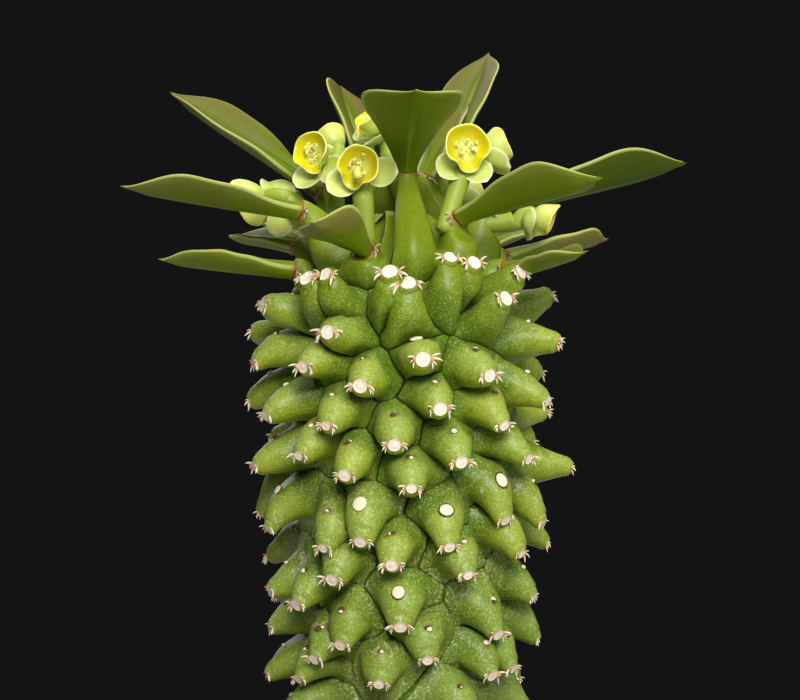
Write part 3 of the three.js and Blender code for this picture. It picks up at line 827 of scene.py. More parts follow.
class Sprig:
    """A Geometry Nodes tree with named inputs, which grows small repeated shapes on a host."""

    SOCKETS = {float: "NodeSocketFloat", int: "NodeSocketInt"}

    def __init__(self, name: str, sizes: dict[str, float | int]) -> None:
        """Starts the tree.

        Args:
            name: the tree's name.
            sizes: the named inputs and their values.
        """
        self.tree = bpy.data.node_groups.new(name, "GeometryNodeTree")
        self.graph = Graph(self.tree)
        self.sizes = sizes
        face = self.tree.interface
        face.new_socket("Geometry", in_out="INPUT", socket_type="NodeSocketGeometry")
        face.new_socket("Geometry", in_out="OUTPUT", socket_type="NodeSocketGeometry")
        for size, value in sizes.items():
            face.new_socket(size, in_out="INPUT", socket_type=self.SOCKETS[type(value)])
        self.inputs = self.graph.add("NodeGroupInput")

    def size(self, name: str) -> Wire:
        """One of the named inputs."""
        return Wire(self.graph, self.inputs.socket.node.outputs[name])

    def mark(self, name: str, kind: str = "FLOAT") -> Wire:
        """A number or a vector that the host's points carry."""
        return self.graph.add("GeometryNodeInputNamedAttribute", {"data_type": kind}, {"Name": name})

    def chance(self, low: float, high: float, seed: int) -> Wire:
        """A random number for each point, from the seed that the tree is given."""
        sockets = {2: low, 3: high, "Seed": self.size("Seed") + seed}
        return self.graph.add("FunctionNodeRandomValue", {"data_type": "FLOAT"}, sockets, 1)

    def vector(self, x: object, y: object, z: object) -> Wire:
        """A vector from three numbers."""
        return self.graph.add("ShaderNodeCombineXYZ", {}, {0: x, 1: y, 2: z})

    def keep(self, geometry: Wire, name: str, value: object, domain: str = "POINT") -> Wire:
        """Stores a number under a name on the geometry."""
        settings = {"data_type": "FLOAT", "domain": domain}
        sockets = {"Geometry": geometry, "Name": name, "Value": value}
        return self.graph.add("GeometryNodeStoreNamedAttribute", settings, sockets)

    def moved(self, geometry: Wire, place: object, scale: object) -> Wire:
        """Moves and scales a geometry."""
        sockets = {"Geometry": geometry, "Translation": place, "Scale": scale}
        return self.graph.add("GeometryNodeTransform", {}, sockets)

    def joined(self, *parts: Wire) -> Wire:
        """Joins geometries, the last one first in the result."""
        join = self.graph.add("GeometryNodeJoinGeometry")
        for part in parts:
            self.tree.links.new(part.socket, join.socket.node.inputs[0])
        return join

    def seated(self, shape: Wire, scale: Wire) -> Wire:
        """Puts a shape on each point of the host.

        Args:
            shape: its Z goes along the point's aim and its X towards the point's sag.
            scale: its scale at each point.

        Returns:
            The instances.
        """
        kind = "FunctionNodeAlignRotationToVector"
        aim, sag = (self.mark(name, "FLOAT_VECTOR") for name in ("aim", "sag"))
        first = self.graph.add(kind, {"axis": "Z"}, {"Vector": aim})
        settings = {"axis": "X", "pivot_axis": "Z"}
        turn = self.graph.add(kind, settings, {"Rotation": first, "Vector": sag})
        sockets = {"Points": self.size("Geometry"), "Instance": shape, "Rotation": turn, "Scale": scale}
        return self.graph.add("GeometryNodeInstanceOnPoints", {}, sockets)

    def ball(self, radius: Wire | float) -> Wire:
        """A ball of 80 faces."""
        sockets = {"Radius": radius, "Subdivisions": 2}
        return self.graph.add("GeometryNodeMeshIcoSphere", {}, sockets)

    def tube(self, curve: Wire, radius: Wire) -> Wire:
        """A five-sided tube along a curve, closed at both ends."""
        circle = self.graph.add("GeometryNodeCurvePrimitiveCircle", {}, {"Resolution": 5, "Radius": 1.0})
        sockets = {"Curve": curve, "Profile Curve": circle, "Scale": radius, "Fill Caps": True}
        return self.graph.add("GeometryNodeCurveToMesh", {}, sockets)

    def finish(self, geometry: Wire, finish: Finish) -> None:
        """Ends the tree: real geometry, smooth, in its finish.

        Args:
            geometry: what the tree has grown.
            finish: what it is finished with.
        """
        self.material = finish.material()
        real = self.graph.add("GeometryNodeRealizeInstances", {}, {"Geometry": geometry})
        soft = self.graph.add("GeometryNodeSetShadeSmooth", {}, {"Geometry": real})
        sockets = {"Geometry": soft, "Material": self.material}
        done = self.graph.add("GeometryNodeSetMaterial", {}, sockets)
        self.graph.add("NodeGroupOutput", {}, {"Geometry": done})

    def grow(self, host: bpy.types.Object, name: str) -> bpy.types.Object:
        """Grows the tree on a host and leaves one plain mesh.

        Args:
            host: the object whose points or faces it grows on; it is removed.
            name: the name of the new object.

        Returns:
            The new object, at the origin.
        """
        modifier = host.modifiers.new(self.tree.name, "NODES")
        modifier.node_group = self.tree
        for item in self.tree.interface.items_tree:
            if item.in_out == "INPUT" and item.name in self.sizes:
                modifier[item.identifier] = self.sizes[item.name]
        graph = bpy.context.evaluated_depsgraph_get()
        mesh = bpy.data.meshes.new_from_object(host.evaluated_get(graph), depsgraph=graph)
        host.modifiers.remove(modifier)
        bpy.data.objects.remove(host)
        mesh.name = name
        mesh.materials.clear()
        mesh.materials.append(self.material)
        mesh.polygons.foreach_set("material_index", [0] * len(mesh.polygons))
        return placed(name, mesh)


def claw_sprig(finish: Finish, seed: int) -> Sprig:
    """The tree that grows short curved spines.

    Args:
        finish: the spines' finish.
        seed: the seed of every random choice.

    Returns:
        The tree.
    """
    sizes = {"Spine Length": 1.35 * MM, "Spine Thickness": 0.2, "Bend": 0.34, "Seed": seed}
    sprig = Sprig("curved_spines", sizes)
    graph = sprig.graph
    curve = graph.add("GeometryNodeCurveQuadraticBezier", {}, {
        "Resolution": 4, "Start": (0, 0, 0), "Middle": (0, 0, 0.6),
        "End": sprig.vector(sprig.size("Bend"), 0.0, 1.0)})
    share = graph.add("GeometryNodeSplineParameter")
    curve = sprig.keep(curve, "reach", share)
    radius = sprig.size("Spine Thickness") * (1.04 - share).power(0.7)
    scale = sprig.size("Spine Length") * sprig.mark("size") * sprig.chance(0.75, 1.25, 1)
    sprig.finish(sprig.seated(sprig.tube(curve, radius), scale), finish)
    return sprig


def bead_sprig(finish: Finish, seed: int, radius: float, flatness: float) -> Sprig:
    """The tree that grows small flattened beads.

    Args:
        finish: the beads' finish.
        seed: the seed of every random choice.
        radius: of a bead of the usual size, in millimetres.
        flatness: its height as a share of its width.

    Returns:
        The tree.
    """
    sprig = Sprig("small_beads", {"Bead Radius": radius * MM, "Flatness": flatness, "Seed": seed})
    size = sprig.size("Bead Radius") * sprig.mark("size")
    width, depth = size * sprig.chance(0.8, 1.3, 1), size * sprig.chance(0.7, 1.2, 2)
    scale = sprig.vector(width, depth, size * sprig.size("Flatness"))
    sprig.finish(sprig.seated(sprig.ball(1.0), scale), finish)
    return sprig


def stamen_sprig(finish: Finish, seed: int) -> Sprig:
    """The tree that grows stamens: a thread with two small anthers at its tip.

    Args:
        finish: the stamens' finish.
        seed: the seed of every random choice.

    Returns:
        The tree.
    """
    sizes = {"Stamen Length": MM, "Thread Radius": 0.1 * MM, "Anther Radius": 0.23 * MM, "Seed": seed}
    sprig = Sprig("stamens", sizes)
    graph = sprig.graph
    length, girth = sprig.size("Stamen Length"), sprig.size("Anther Radius")
    line = graph.add("GeometryNodeCurvePrimitiveLine", {"mode": "POINTS"}, {
        "Start": (0, 0, 0), "End": sprig.vector(0.0, 0.0, length)})
    line = graph.add("GeometryNodeResampleCurve", {}, {"Curve": line, "Count": 3})
    thread = sprig.keep(sprig.tube(line, sprig.size("Thread Radius")), "reach", 0.0)
    anther = sprig.keep(sprig.ball(girth), "reach", 1.0)
    apart = girth * 0.85
    pair = [
        sprig.moved(anther, sprig.vector(side * apart, 0.0, length), (1.0, 0.75, 0.8))
        for side in (-1, 1)
    ]
    scale = sprig.vector(1.0, 1.0, sprig.mark("size"))
    sprig.finish(sprig.seated(sprig.joined(thread, *pair), scale), finish)
    return sprig


def grit_sprig(finish: Finish, seed: int, spacing: float) -> Sprig:
    """The tree that strews small stones over the soil.

    Args:
        finish: the stones' finish.
        seed: the seed of every random choice.
        spacing: the least distance between two stones, in metres.

    Returns:
        The tree.
    """
    most_per_square_metre = 4e5
    full_turn = 6.28
    sprig = Sprig("strewn_grit", {"Stone Radius": 1.5 * MM, "Spacing": spacing, "Seed": seed})
    graph = sprig.graph
    strewn = graph.add("GeometryNodeDistributePointsOnFaces", {"distribute_method": "POISSON"}, {
        "Mesh": sprig.size("Geometry"), "Selection": sprig.mark("open"),
        "Distance Min": sprig.size("Spacing"), "Density Max": most_per_square_metre,
        "Density Factor": 1.0, "Seed": sprig.size("Seed")})
    stones = []
    for k in range(3):
        where = graph.add("GeometryNodeInputPosition")
        sockets = {"Vector": where, "Scale": 1.1, "Detail": 1.0, "W": 4.0 + 7.0 * k}
        lumps = graph.add("ShaderNodeTexNoise", {"noise_dimensions": "4D"}, sockets)
        sockets = {0: where, "Scale": (lumps - 0.5) * 1.3}
        push = graph.add("ShaderNodeVectorMath", {"operation": "SCALE"}, sockets)
        sockets = {"Geometry": sprig.ball(1.0), "Offset": push}
        stone = graph.add("GeometryNodeSetPosition", {}, sockets)
        stones.append(graph.add("GeometryNodeGeometryToInstance", {}, {"Geometry": stone}))
    size = sprig.size("Stone Radius") * sprig.chance(0.0, 1.0, 3).power(1.6) + 0.35 * MM
    turn = graph.add("FunctionNodeRandomValue", {"data_type": "FLOAT_VECTOR"}, {
        0: (0, 0, 0), 1: (full_turn,) * 3, "Seed": sprig.size("Seed") + 5})
    grown = graph.add("GeometryNodeInstanceOnPoints", {}, {
        "Points": strewn, "Instance": sprig.joined(*stones), "Pick Instance": True, "Rotation": turn,
        "Scale": sprig.vector(size, size * sprig.chance(0.65, 1.0, 6), size * sprig.chance(0.5, 0.9, 7))})
    toned = sprig.keep(grown, "tone", sprig.chance(0.0, 1.0, 8), "INSTANCE")
    sprig.finish(toned, finish)
    return sprig


# How the plant grows

@dataclass(frozen=True)
class LeafForm:
    """A leaf: heading, rise, length, width and roll; how brown its blush, and how much darker its green,
    partly its own colour and partly painted shade.
    """

    heading: float
    rise: float
    length: float
    width: float
    roll: float
    blush: float = 0.0
    deep: float = 0.0


@dataclass(frozen=True)
class CrownPlace:
    """A crown tubercle: turn and height of its root; radius, height and nose rise of its tip."""

    root: tuple[float, float]
    tip: tuple[float, float, float]
    leaf: LeafForm


@dataclass(frozen=True)
class CupPlace:
    """A flower cup: middle, heading and rise, turn of its open side, size, any ovary, bract turns."""

    at: tuple[float, float, float]
    facing: tuple[float, float]
    gap: float
    size: float = 1.0
    ovary: bool = False
    leans: tuple[float, float] = (-1.05, 1.05)

    def axes(self) -> tuple[np.ndarray, np.ndarray, np.ndarray]:
        """The directions out of the cup, to its side and up along its rim."""
        out = heading(*self.facing)
        side = turned_about(heading(self.facing[0] + 90, 0), out, self.gap * DEGREE)
        return out, side, np.cross(out, side)


@dataclass(frozen=True)
class HeadPlace:
    """A flower head: the root and the fork of its stalk, and its cups."""

    root: tuple[float, float, float]
    fork: tuple[float, float, float]
    cups: tuple[CupPlace, ...]


# Tubercles of the side seen from the front, from the top down: the turn in degrees from straight
# ahead, the height of the tip, the droop of the nose in degrees, and any length out of the ordinary.
SEEN_TUBERCLES = [
    (22, 179.5, -58), (31.5, 177.6, -30), (57, 176, -22), (-34, 176.5, -42), (-5.5, 177.2, -50),
    (2, 176, -62), (-43, 175.8, -38), (103, 172, -12, 12.5), (43, 172.4, -18), (-68, 170.8, 0),
    (-28, 167.3, 4), (-98, 166.5, 4), (78, 165, 12, 12), (7, 163.5, 8), (-73, 161.8, 34),
    (-38, 162, 18), (32, 160.8, 16), (116, 159.5, 20), (-15, 159.4, 18), (65, 156.2, 24),
    (-96, 155.3, 28), (13, 155.9, 16), (-59, 154, 24), (112, 153, 4), (-28, 153, 24), (39, 152.8, 32),
    (-3, 150, 22), (-123, 148.5, 10), (119, 147.5, 42), (-40, 147.7, 26), (52, 146.8, 30),
    (21, 147, 26), (-69, 145, 20), (90, 144.2, 3, 13.4), (-21, 144.8, 28), (3, 142.8, 26),
    (43.5, 136.4, 58), (-98, 135.5, 52), (71, 135, 52), (-65, 134.2, 52), (-16, 133.5, 46),
    (17.5, 132.6, 44), (-31, 132.2, 40), (101, 130, 36), (51.5, 130.5, 42), (-4, 129.8, 28),
    (-113, 127, 28), (25, 127.8, 34), (-27.5, 126.9, 32), (-71, 123.2, 16, 9), (72, 121.8, 32, 9),
    (-46, 121.9, 34), (-1, 119, 44), (-75, 116.3, 22, 9), (42, 116.7, 42), (-26, 115.5, 38),
    (90, 113.4, 40), (10, 113.2, 38), (-39, 112.6, 34), (55, 110.1, 44), (41, 109.6, 40),
    (-50, 108.6, 34), (-10, 109, 36),
]

# The turn and height of those that carry the pale scar of a flower head on their back.
FLOWERED = {(-16, 133.5), (17.5, 132.6), (-1, 119), (-65, 134.2), (43.5, 136.4), (7, 163.5)}

# The crown's tubercles and leaves: three in the middle, then two rings, each on by the right.
CROWN = [
    CrownPlace((6, 178.6), (5.6, 197, 80), LeafForm(3, 13, 34, 16.5, 0, 0.0, 0.2)),
    CrownPlace((104, 183.6), (4.6, 196, 62), LeafForm(120, 52, 15, 6.5, 0, 0.9)),
    CrownPlace((-150, 184.6), (4.8, 195.6, 70), LeafForm(152, 62, 12, 6, 0, 0.9)),
    CrownPlace((44, 179.6), (14.4, 188.8, 26), LeafForm(52, 7, 29.5, 13, -20, 0.3, 0.1)),
    CrownPlace((92, 180.6), (16, 190, 26), LeafForm(98, 9, 36, 13, -26, 0.4, 1.0)),
    CrownPlace((138, 181), (11, 197, 66), LeafForm(158, 37, 33, 11, -16, 0.95, 0.2)),
    CrownPlace((170, 179.6), (11.4, 194, 46), LeafForm(172, 19, 29, 12, 0, 0.6)),
    CrownPlace((-144, 181), (10.4, 196, 62), LeafForm(-166, 28, 31, 14, 34, 1.0, 0.3)),
    CrownPlace((-102, 181), (15, 193.4, 42), LeafForm(-111, 27, 34, 13, -8, 0.75, 0.25)),
    CrownPlace((-62, 180.2), (20.6, 190, 12), LeafForm(-66, 3, 32, 12.5, 8, 0.65, 0.25)),
    CrownPlace((-25, 178.8), (15.6, 183.4, 22), LeafForm(-34, 10, 16, 10.5, 24, 0.75)),
    CrownPlace((66, 175.4), (20, 179.6, 10), LeafForm(48, 7, 17, 8, 8, 0.35)),
    CrownPlace((112, 176), (20, 181.6, 16), LeafForm(120, 3, 22, 10, -10, 0.85)),
    CrownPlace((148, 175.4), (21, 182, 18), LeafForm(150, 6, 28, 12, 6, 0.5)),
    CrownPlace((178, 175), (19.6, 184.6, 24), LeafForm(178, 10, 30, 13, 0, 0.5)),
    CrownPlace((-146, 175.4), (20, 183, 18), LeafForm(-150, 5, 27, 12, -6, 0.5)),
    CrownPlace((-112, 175.2), (20.5, 183.6, 14), LeafForm(-138, -2, 17, 9, -10, 0.5)),
    CrownPlace((-76, 174.4), (20, 179.6, 8), LeafForm(-80, 0, 23, 10, 6, 0.3)),
]

# The flower heads, with places in millimetres and directions in degrees.
HEADS = [
    HeadPlace((-6.2, -10.4, 183.1), (-7.2, -11.4, 193.8), (
        CupPlace((-7.8, -15, 197.8), (-6, 12), -25, 1.06, True, (-0.5, 1.9)),)),
    HeadPlace((-11.8, -5.6, 188.8), (-12.6, -4.4, 196), (
        CupPlace((-16.4, -8.6, 200.6), (-30, 18), 10, leans=(-0.6, 0.7)),
        CupPlace((-13.2, 1.4, 203.4), (-150, 36), 0, 0.84))),
    HeadPlace((-1.6, 0.6, 197.4), (-2.6, 1, 200.6), (
        CupPlace((-6.4, 0, 207), (-66, 46), -20),)),
    HeadPlace((8.6, -9.2, 190.8), (10.8, -6.4, 197.2), (
        CupPlace((11.4, -10.2, 201.4), (8, 16), 5, 1.16, leans=(-0.85, 0.45)),
        CupPlace((17.6, -3, 201.6), (112, 20), 0))),
    HeadPlace((-13.2, -1.6, 182.6), (-21.2, -2.6, 192.4), (
        CupPlace((-27.4, 1.2, 190.4), (-130, -30), 180),
        CupPlace((-19.8, 3.8, 189.6), (180, -30), 180, leans=(-0.7, -2.6)))),
    HeadPlace((18, -0.6, 187.6), (20.4, -0.8, 187.6), (
        CupPlace((26.6, -1.4, 188), (84, -24), 0),)),
    HeadPlace((6, 13.4, 188.6), (7, 15.6, 191.8), (
        CupPlace((4.6, 21.4, 194.2), (-166, 12), 0),
        CupPlace((13, 18, 194.6), (120, 14), 0))),
]


def turn_between(start: float, end: float) -> float:
    """The turn from one angle to another in radians, within half a circle."""
    return (end - start + math.pi) % (2 * math.pi) - math.pi


@dataclass
class Core:
    """The fleshy core as a conformal map: one unit of rise spans as much skin as one radian."""

    foot: float = 79.0
    foot_radius: float = 12.6
    shoulder: float = 152.0
    shoulder_radius: float = 17.2
    top: float = 186.5
    apex_radius: float = 2.6
    swell_start: float = 34.0
    step: float = 0.1

    def __post_init__(self) -> None:
        """Measures the outline from the foot up to the apex."""
        heights = [self.foot]
        radii = [self.radius(self.foot)]
        while radii[-1] > self.apex_radius:
            heights.append(self.foot + len(heights) * self.step)
            radii.append(self.radius(heights[-1]))
        self.heights = np.array(heights)
        self.radii = np.array(radii)
        run = np.hypot(np.diff(self.radii), np.diff(self.heights))
        middle = (self.radii[1:] + self.radii[:-1]) / 2
        self.rises = np.concatenate([[0], np.cumsum(run / middle)])

    def radius(self, height: float) -> float:
        """Radius of the core at a height."""
        swell = smoothstep(height, self.swell_start, self.shoulder)
        foot = smoothstep(self.foot, self.swell_start, self.shoulder)
        grown = (self.shoulder_radius - self.foot_radius) * (swell - foot) / (1 - foot)
        dome = max((height - self.shoulder) / (self.top - self.shoulder), 0)
        return (self.foot_radius + grown) * math.sqrt(1 - dome ** 3)

    def rise_at(self, height: float) -> float:
        """The rise at a height."""
        return float(np.interp(height, self.heights, self.rises))

    def place(self, turn: np.ndarray | float, rise: np.ndarray | float) -> np.ndarray:
        """Points of the core from turns in radians and rises."""
        radius = np.interp(rise, self.rises, self.radii)
        height = np.interp(rise, self.rises, self.heights)
        return np.stack([radius * np.sin(turn), -radius * np.cos(turn), height], axis=-1)

    def axes(self, turn: float, rise: float) -> tuple[np.ndarray, np.ndarray, np.ndarray]:
        """The skin's axes at a place.

        Args:
            turn: radians from straight ahead.
            rise: how far up the map.

        Returns:
            Directions along the turn, up the skin and outwards.
        """
        i = int(np.clip(np.searchsorted(self.rises, rise), 1, len(self.rises) - 1))
        slope = math.atan2(self.radii[i] - self.radii[i - 1], self.heights[i] - self.heights[i - 1])
        side = np.array([math.cos(turn), math.sin(turn), 0.0])
        radial = np.array([math.sin(turn), -math.cos(turn), 0.0])
        up = radial * math.sin(slope) + UP * math.cos(slope)
        return side, up, np.cross(side, up)


@dataclass
class Tubercle:
    """One tubercle: its root on the core, its tip, where its nose points, and what it carries."""

    turn: float
    rise: float
    tip: np.ndarray
    nose: np.ndarray
    leaf: LeafForm | None = None
    flowered: bool = False


@dataclass
class Growth:
    """Places every tubercle: the crown, the ones placed one by one, and a spiral between them."""

    core: Core
    length: float = 11.2
    short_length: float = 9.0
    lean_share: float = 0.62
    golden_angle: float = 137.508
    spiral_pitch: float = 0.74
    spiral_foot: float = 84.0
    spiral_top: float = 173.0
    clear_spacing: float = 7.6
    foot_droop: float = 34.0
    droop_spread: float = 11.0
    turn_spread: float = 6.0
    short_below: float = 95.0
    full_above: float = 140.0
    seed: int = 23
    tubercles: list[Tubercle] = field(default_factory=list)

    def __post_init__(self) -> None:
        """Grows the tubercles in order."""
        self.tubercles += [self.crown_tubercle(place) for place in CROWN]
        for place in SEEN_TUBERCLES:
            self.tubercles.append(self.stem_tubercle(*place))
            self.tubercles[-1].flowered = place[:2] in FLOWERED
        draws = Draws(self.seed)
        span = self.spiral_top - self.spiral_foot
        for i in range(math.floor(span / self.spiral_pitch)):
            height = self.spiral_foot + i * self.spiral_pitch
            droop = self.foot_droop * (1 - (height - self.spiral_foot) / span)
            droop += draws.next(-self.droop_spread, self.droop_spread)
            length = self.length_at(height) * draws.next(0.9, 1.15)
            turn = -self.golden_angle * i + draws.next(0, self.turn_spread)
            new = self.stem_tubercle(turn, height, droop, length)
            if all(self.skin_distance(one, new) > self.clear_spacing for one in self.tubercles):
                self.tubercles.append(new)

    def length_at(self, height: float) -> float:
        """How long a tubercle is at a height."""
        grown = smoothstep(height, self.short_below, self.full_above)
        return self.short_length + grown * (self.length - self.short_length)

    def skin_distance(self, a: Tubercle, b: Tubercle) -> float:
        """Distance over the skin between two roots."""
        radius = np.interp((a.rise + b.rise) / 2, self.core.rises, self.core.radii)
        return radius * math.hypot(turn_between(a.turn, b.turn), a.rise - b.rise)

    def stem_tubercle(self, turn: float, height: float, droop: float, length: float = 0.0) -> Tubercle:
        """A tubercle of the stem.

        Args:
            turn: degrees from straight ahead.
            height: of its tip.
            droop: how far its nose hangs, in degrees.
            length: its length, or 0 for the usual one.

        Returns:
            The tubercle.
        """
        length = length or self.length_at(height)
        lean = self.lean_share * droop * DEGREE
        angle = turn * DEGREE
        rise = self.core.rise_at(height + length * math.sin(lean))
        _, up, out = self.core.axes(angle, rise)
        tip = self.core.place(angle, rise) + length * (out * math.cos(lean) - up * math.sin(lean))
        nose = out * math.cos(droop * DEGREE) - up * math.sin(droop * DEGREE)
        return Tubercle(angle, rise, tip, nose)

    def crown_tubercle(self, place: CrownPlace) -> Tubercle:
        """A tubercle of the crown, which stands up as the stalk of its leaf.

        Args:
            place: where it stands, with its leaf.

        Returns:
            The tubercle.
        """
        turn = place.root[0]
        rise = self.core.rise_at(place.root[1])
        tip = polar(turn, place.tip[0], place.tip[1])
        nose = heading((turn + place.leaf.heading) / 2, place.tip[2])
        return Tubercle(turn * DEGREE, rise, tip, nose, place.leaf)

    def outlines(self) -> list[list[tuple[float, float]]]:
        """The outline of each tubercle's base: the skin nearer to its root than to any other.

        Returns:
            The corners of each outline, as turns in radians and rises.
        """
        full = 2 * math.pi
        top = self.core.rises[-1]
        found = []
        for one in self.tubercles:
            low, high = -one.rise, top - one.rise
            polygon = [(-math.pi, low), (math.pi, low), (math.pi, high), (-math.pi, high)]
            steps = [
                (turn_between(one.turn, other.turn) + lap * full, other.rise - one.rise)
                for other in self.tubercles if other is not one for lap in (-1, 0, 1)
            ]
            for step in sorted(steps, key=lambda step: math.hypot(*step)):
                if math.hypot(*step) < 2 * max(math.hypot(*corner) for corner in polygon):
                    polygon = self.clip(polygon, *step)
            found.append([(x + one.turn, y + one.rise) for x, y in polygon])
        return found

    @staticmethod
    def clip(polygon: list[tuple[float, float]], dx: float, dy: float) -> list[tuple[float, float]]:
        """Cuts a polygon along the line halfway to another place.

        Args:
            polygon: its corners, seen from the place that it belongs to.
            dx: how far the other place is to the side.
            dy: how far up it is.

        Returns:
            The part on the near side.
        """
        limit = (dx * dx + dy * dy) / 2
        kept = []
        for (ax, ay), (bx, by) in zip(polygon, polygon[1:] + polygon[:1]):
            here = ax * dx + ay * dy - limit
            there = bx * dx + by * dy - limit
            if here <= 0:
                kept.append((ax, ay))
            if here * there < 0:
                share = here / (here - there)
                kept.append((ax + share * (bx - ax), ay + share * (by - ay)))
        return kept


class Creases:
    """The crease lines between tubercles, as points that neighbours share."""

    MERGE = 0.012
    FADE = 0.2
    AHEAD_LIFT = 1.6
    SWAY_SIZE = 5.0
    SWAY = 0.9
    ELSEWHERE = 80.0

    def __init__(self, core: Core, shell: Shell, spacing: float, lift: float) -> None:
        """Starts with no lines.

        Args:
            core: what the lines lie over.
            shell: the mesh that the points go into.
            spacing: how far apart the points are, in millimetres.
            lift: how far over the core they lie, in millimetres.
        """
        self.core = core
        self.shell = shell
        self.spacing = spacing
        self.lift = lift
        self.corners: list[tuple[float, float, int]] = []
        self.lines: dict[tuple[int, int], list[int]] = {}
        self.spots: dict[int, np.ndarray] = {}
        self.places: dict[int, tuple[float, float]] = {}

    def fade(self, rise: float) -> float:
        """A share that falls to nothing at the foot and the top of the core."""
        return float(smoothstep(min(rise, self.core.rises[-1] - rise), 0.0, self.FADE))

    def raised(self, turn: float, rise: float) -> np.ndarray:
        """A point over the core, higher straight ahead, where the creases are shallow."""
        ahead = float(smoothstep(math.cos(turn), 0.5, 0.95))
        lift = self.lift * (1 + self.AHEAD_LIFT * ahead) * self.fade(rise)
        return self.core.place(turn, rise) + self.core.axes(turn, rise)[2] * lift

    def point(self, turn: float, rise: float) -> int:
        """Adds a point that wanders a little off its straight place.

        Args:
            turn: radians from straight ahead.
            rise: how far up the map.

        Returns:
            The point's number.
        """
        flat = self.core.place(turn, rise)
        radius = math.hypot(flat[0], flat[1])
        reads = np.array([flat, flat + self.ELSEWHERE])
        sway = wobble(reads, self.SWAY_SIZE, self.SWAY) * self.fade(rise) / radius
        spot = self.raised(turn + sway[0], rise + sway[1])
        made = self.shell.point(spot, tint=0.5)
        self.spots[made] = spot
        self.places[made] = (turn, rise)
        return made

    def corner(self, turn: float, rise: float) -> int:
        """Finds the shared corner at a place, or makes it.

        Args:
            turn: radians from straight ahead.
            rise: how far up the map.

        Returns:
            The corner's number.
        """
        for i, (other_turn, other_rise, _) in enumerate(self.corners):
            if math.hypot(turn_between(other_turn, turn), other_rise - rise) < self.MERGE:
                return i
        self.corners.append((turn, rise, self.point(turn, rise)))
        return len(self.corners) - 1

    def line(self, start: int, end: int) -> list[int]:
        """Finds the line between two corners, or makes it.

        Args:
            start: the number of the first corner.
            end: the number of the next.

        Returns:
            Its points from the first corner up to, and without, the next.
        """
        key = (min(start, end), max(start, end))
        if key not in self.lines:
            (turn, rise, first), (_, end_rise, last) = (self.corners[i] for i in key)
            sweep = turn_between(turn, self.corners[key[1]][0])
            radius = np.interp(rise, self.core.rises, self.core.radii)
            count = max(1, round(radius * math.hypot(sweep, end_rise - rise) / self.spacing))
            between = [
                self.point(turn + sweep * k / count, rise + (end_rise - rise) * k / count)
                for k in range(1, count)
            ]
            self.lines[key] = [first, *between, last]
        points = self.lines[key]
        return points[:-1] if start < end else points[:0:-1]


class Seats:
    """Places that small repeated shapes grow on, each with its directions, size and tone."""

    def __init__(self) -> None:
        """Starts with no places."""
        self.spots: list[np.ndarray] = []
        self.marks: dict[str, list] = {"aim": [], "sag": [], "size": [], "tone": []}

    def add(self, spot: np.ndarray, aim: np.ndarray, sag: np.ndarray, size: float, tone: float) -> None:
        """Adds a place.

        Args:
            spot: where it is, in millimetres.
            aim: the direction that the shape points in.
            sag: the direction that it bends to.
            size: its size as a share of the usual one.
            tone: how brown it is: pale at 0 and under, brown at 1.
        """
        self.spots.append(spot)
        for mark, value in zip(self.marks.values(), (aim, sag, size, tone)):
            mark.append(value)

    def grow(self, sprig: Sprig, name: str) -> bpy.types.Object:
        """Grows a tree on the places.

        Args:
            sprig: the tree.
            name: the new object's name.

        Returns:
            The object, a plain mesh.
        """
        mesh = bpy.data.meshes.new(f"{name}_seats")
        mesh.from_pydata(np.array(self.spots) * MM, [], [])
        for mark, values in self.marks.items():
            values = np.array(values, np.float32)
            kind, key = ("FLOAT_VECTOR", "vector") if values.ndim == 2 else ("FLOAT", "value")
            mesh.attributes.new(mark, kind, "POINT").data.foreach_set(key, values.ravel())
        grown = sprig.grow(placed(mesh.name, mesh), name)
        for mark in ("aim", "sag", "size"):
            left = grown.data.attributes.get(mark)
            if left is not None:
                grown.data.attributes.remove(left)
        return grown


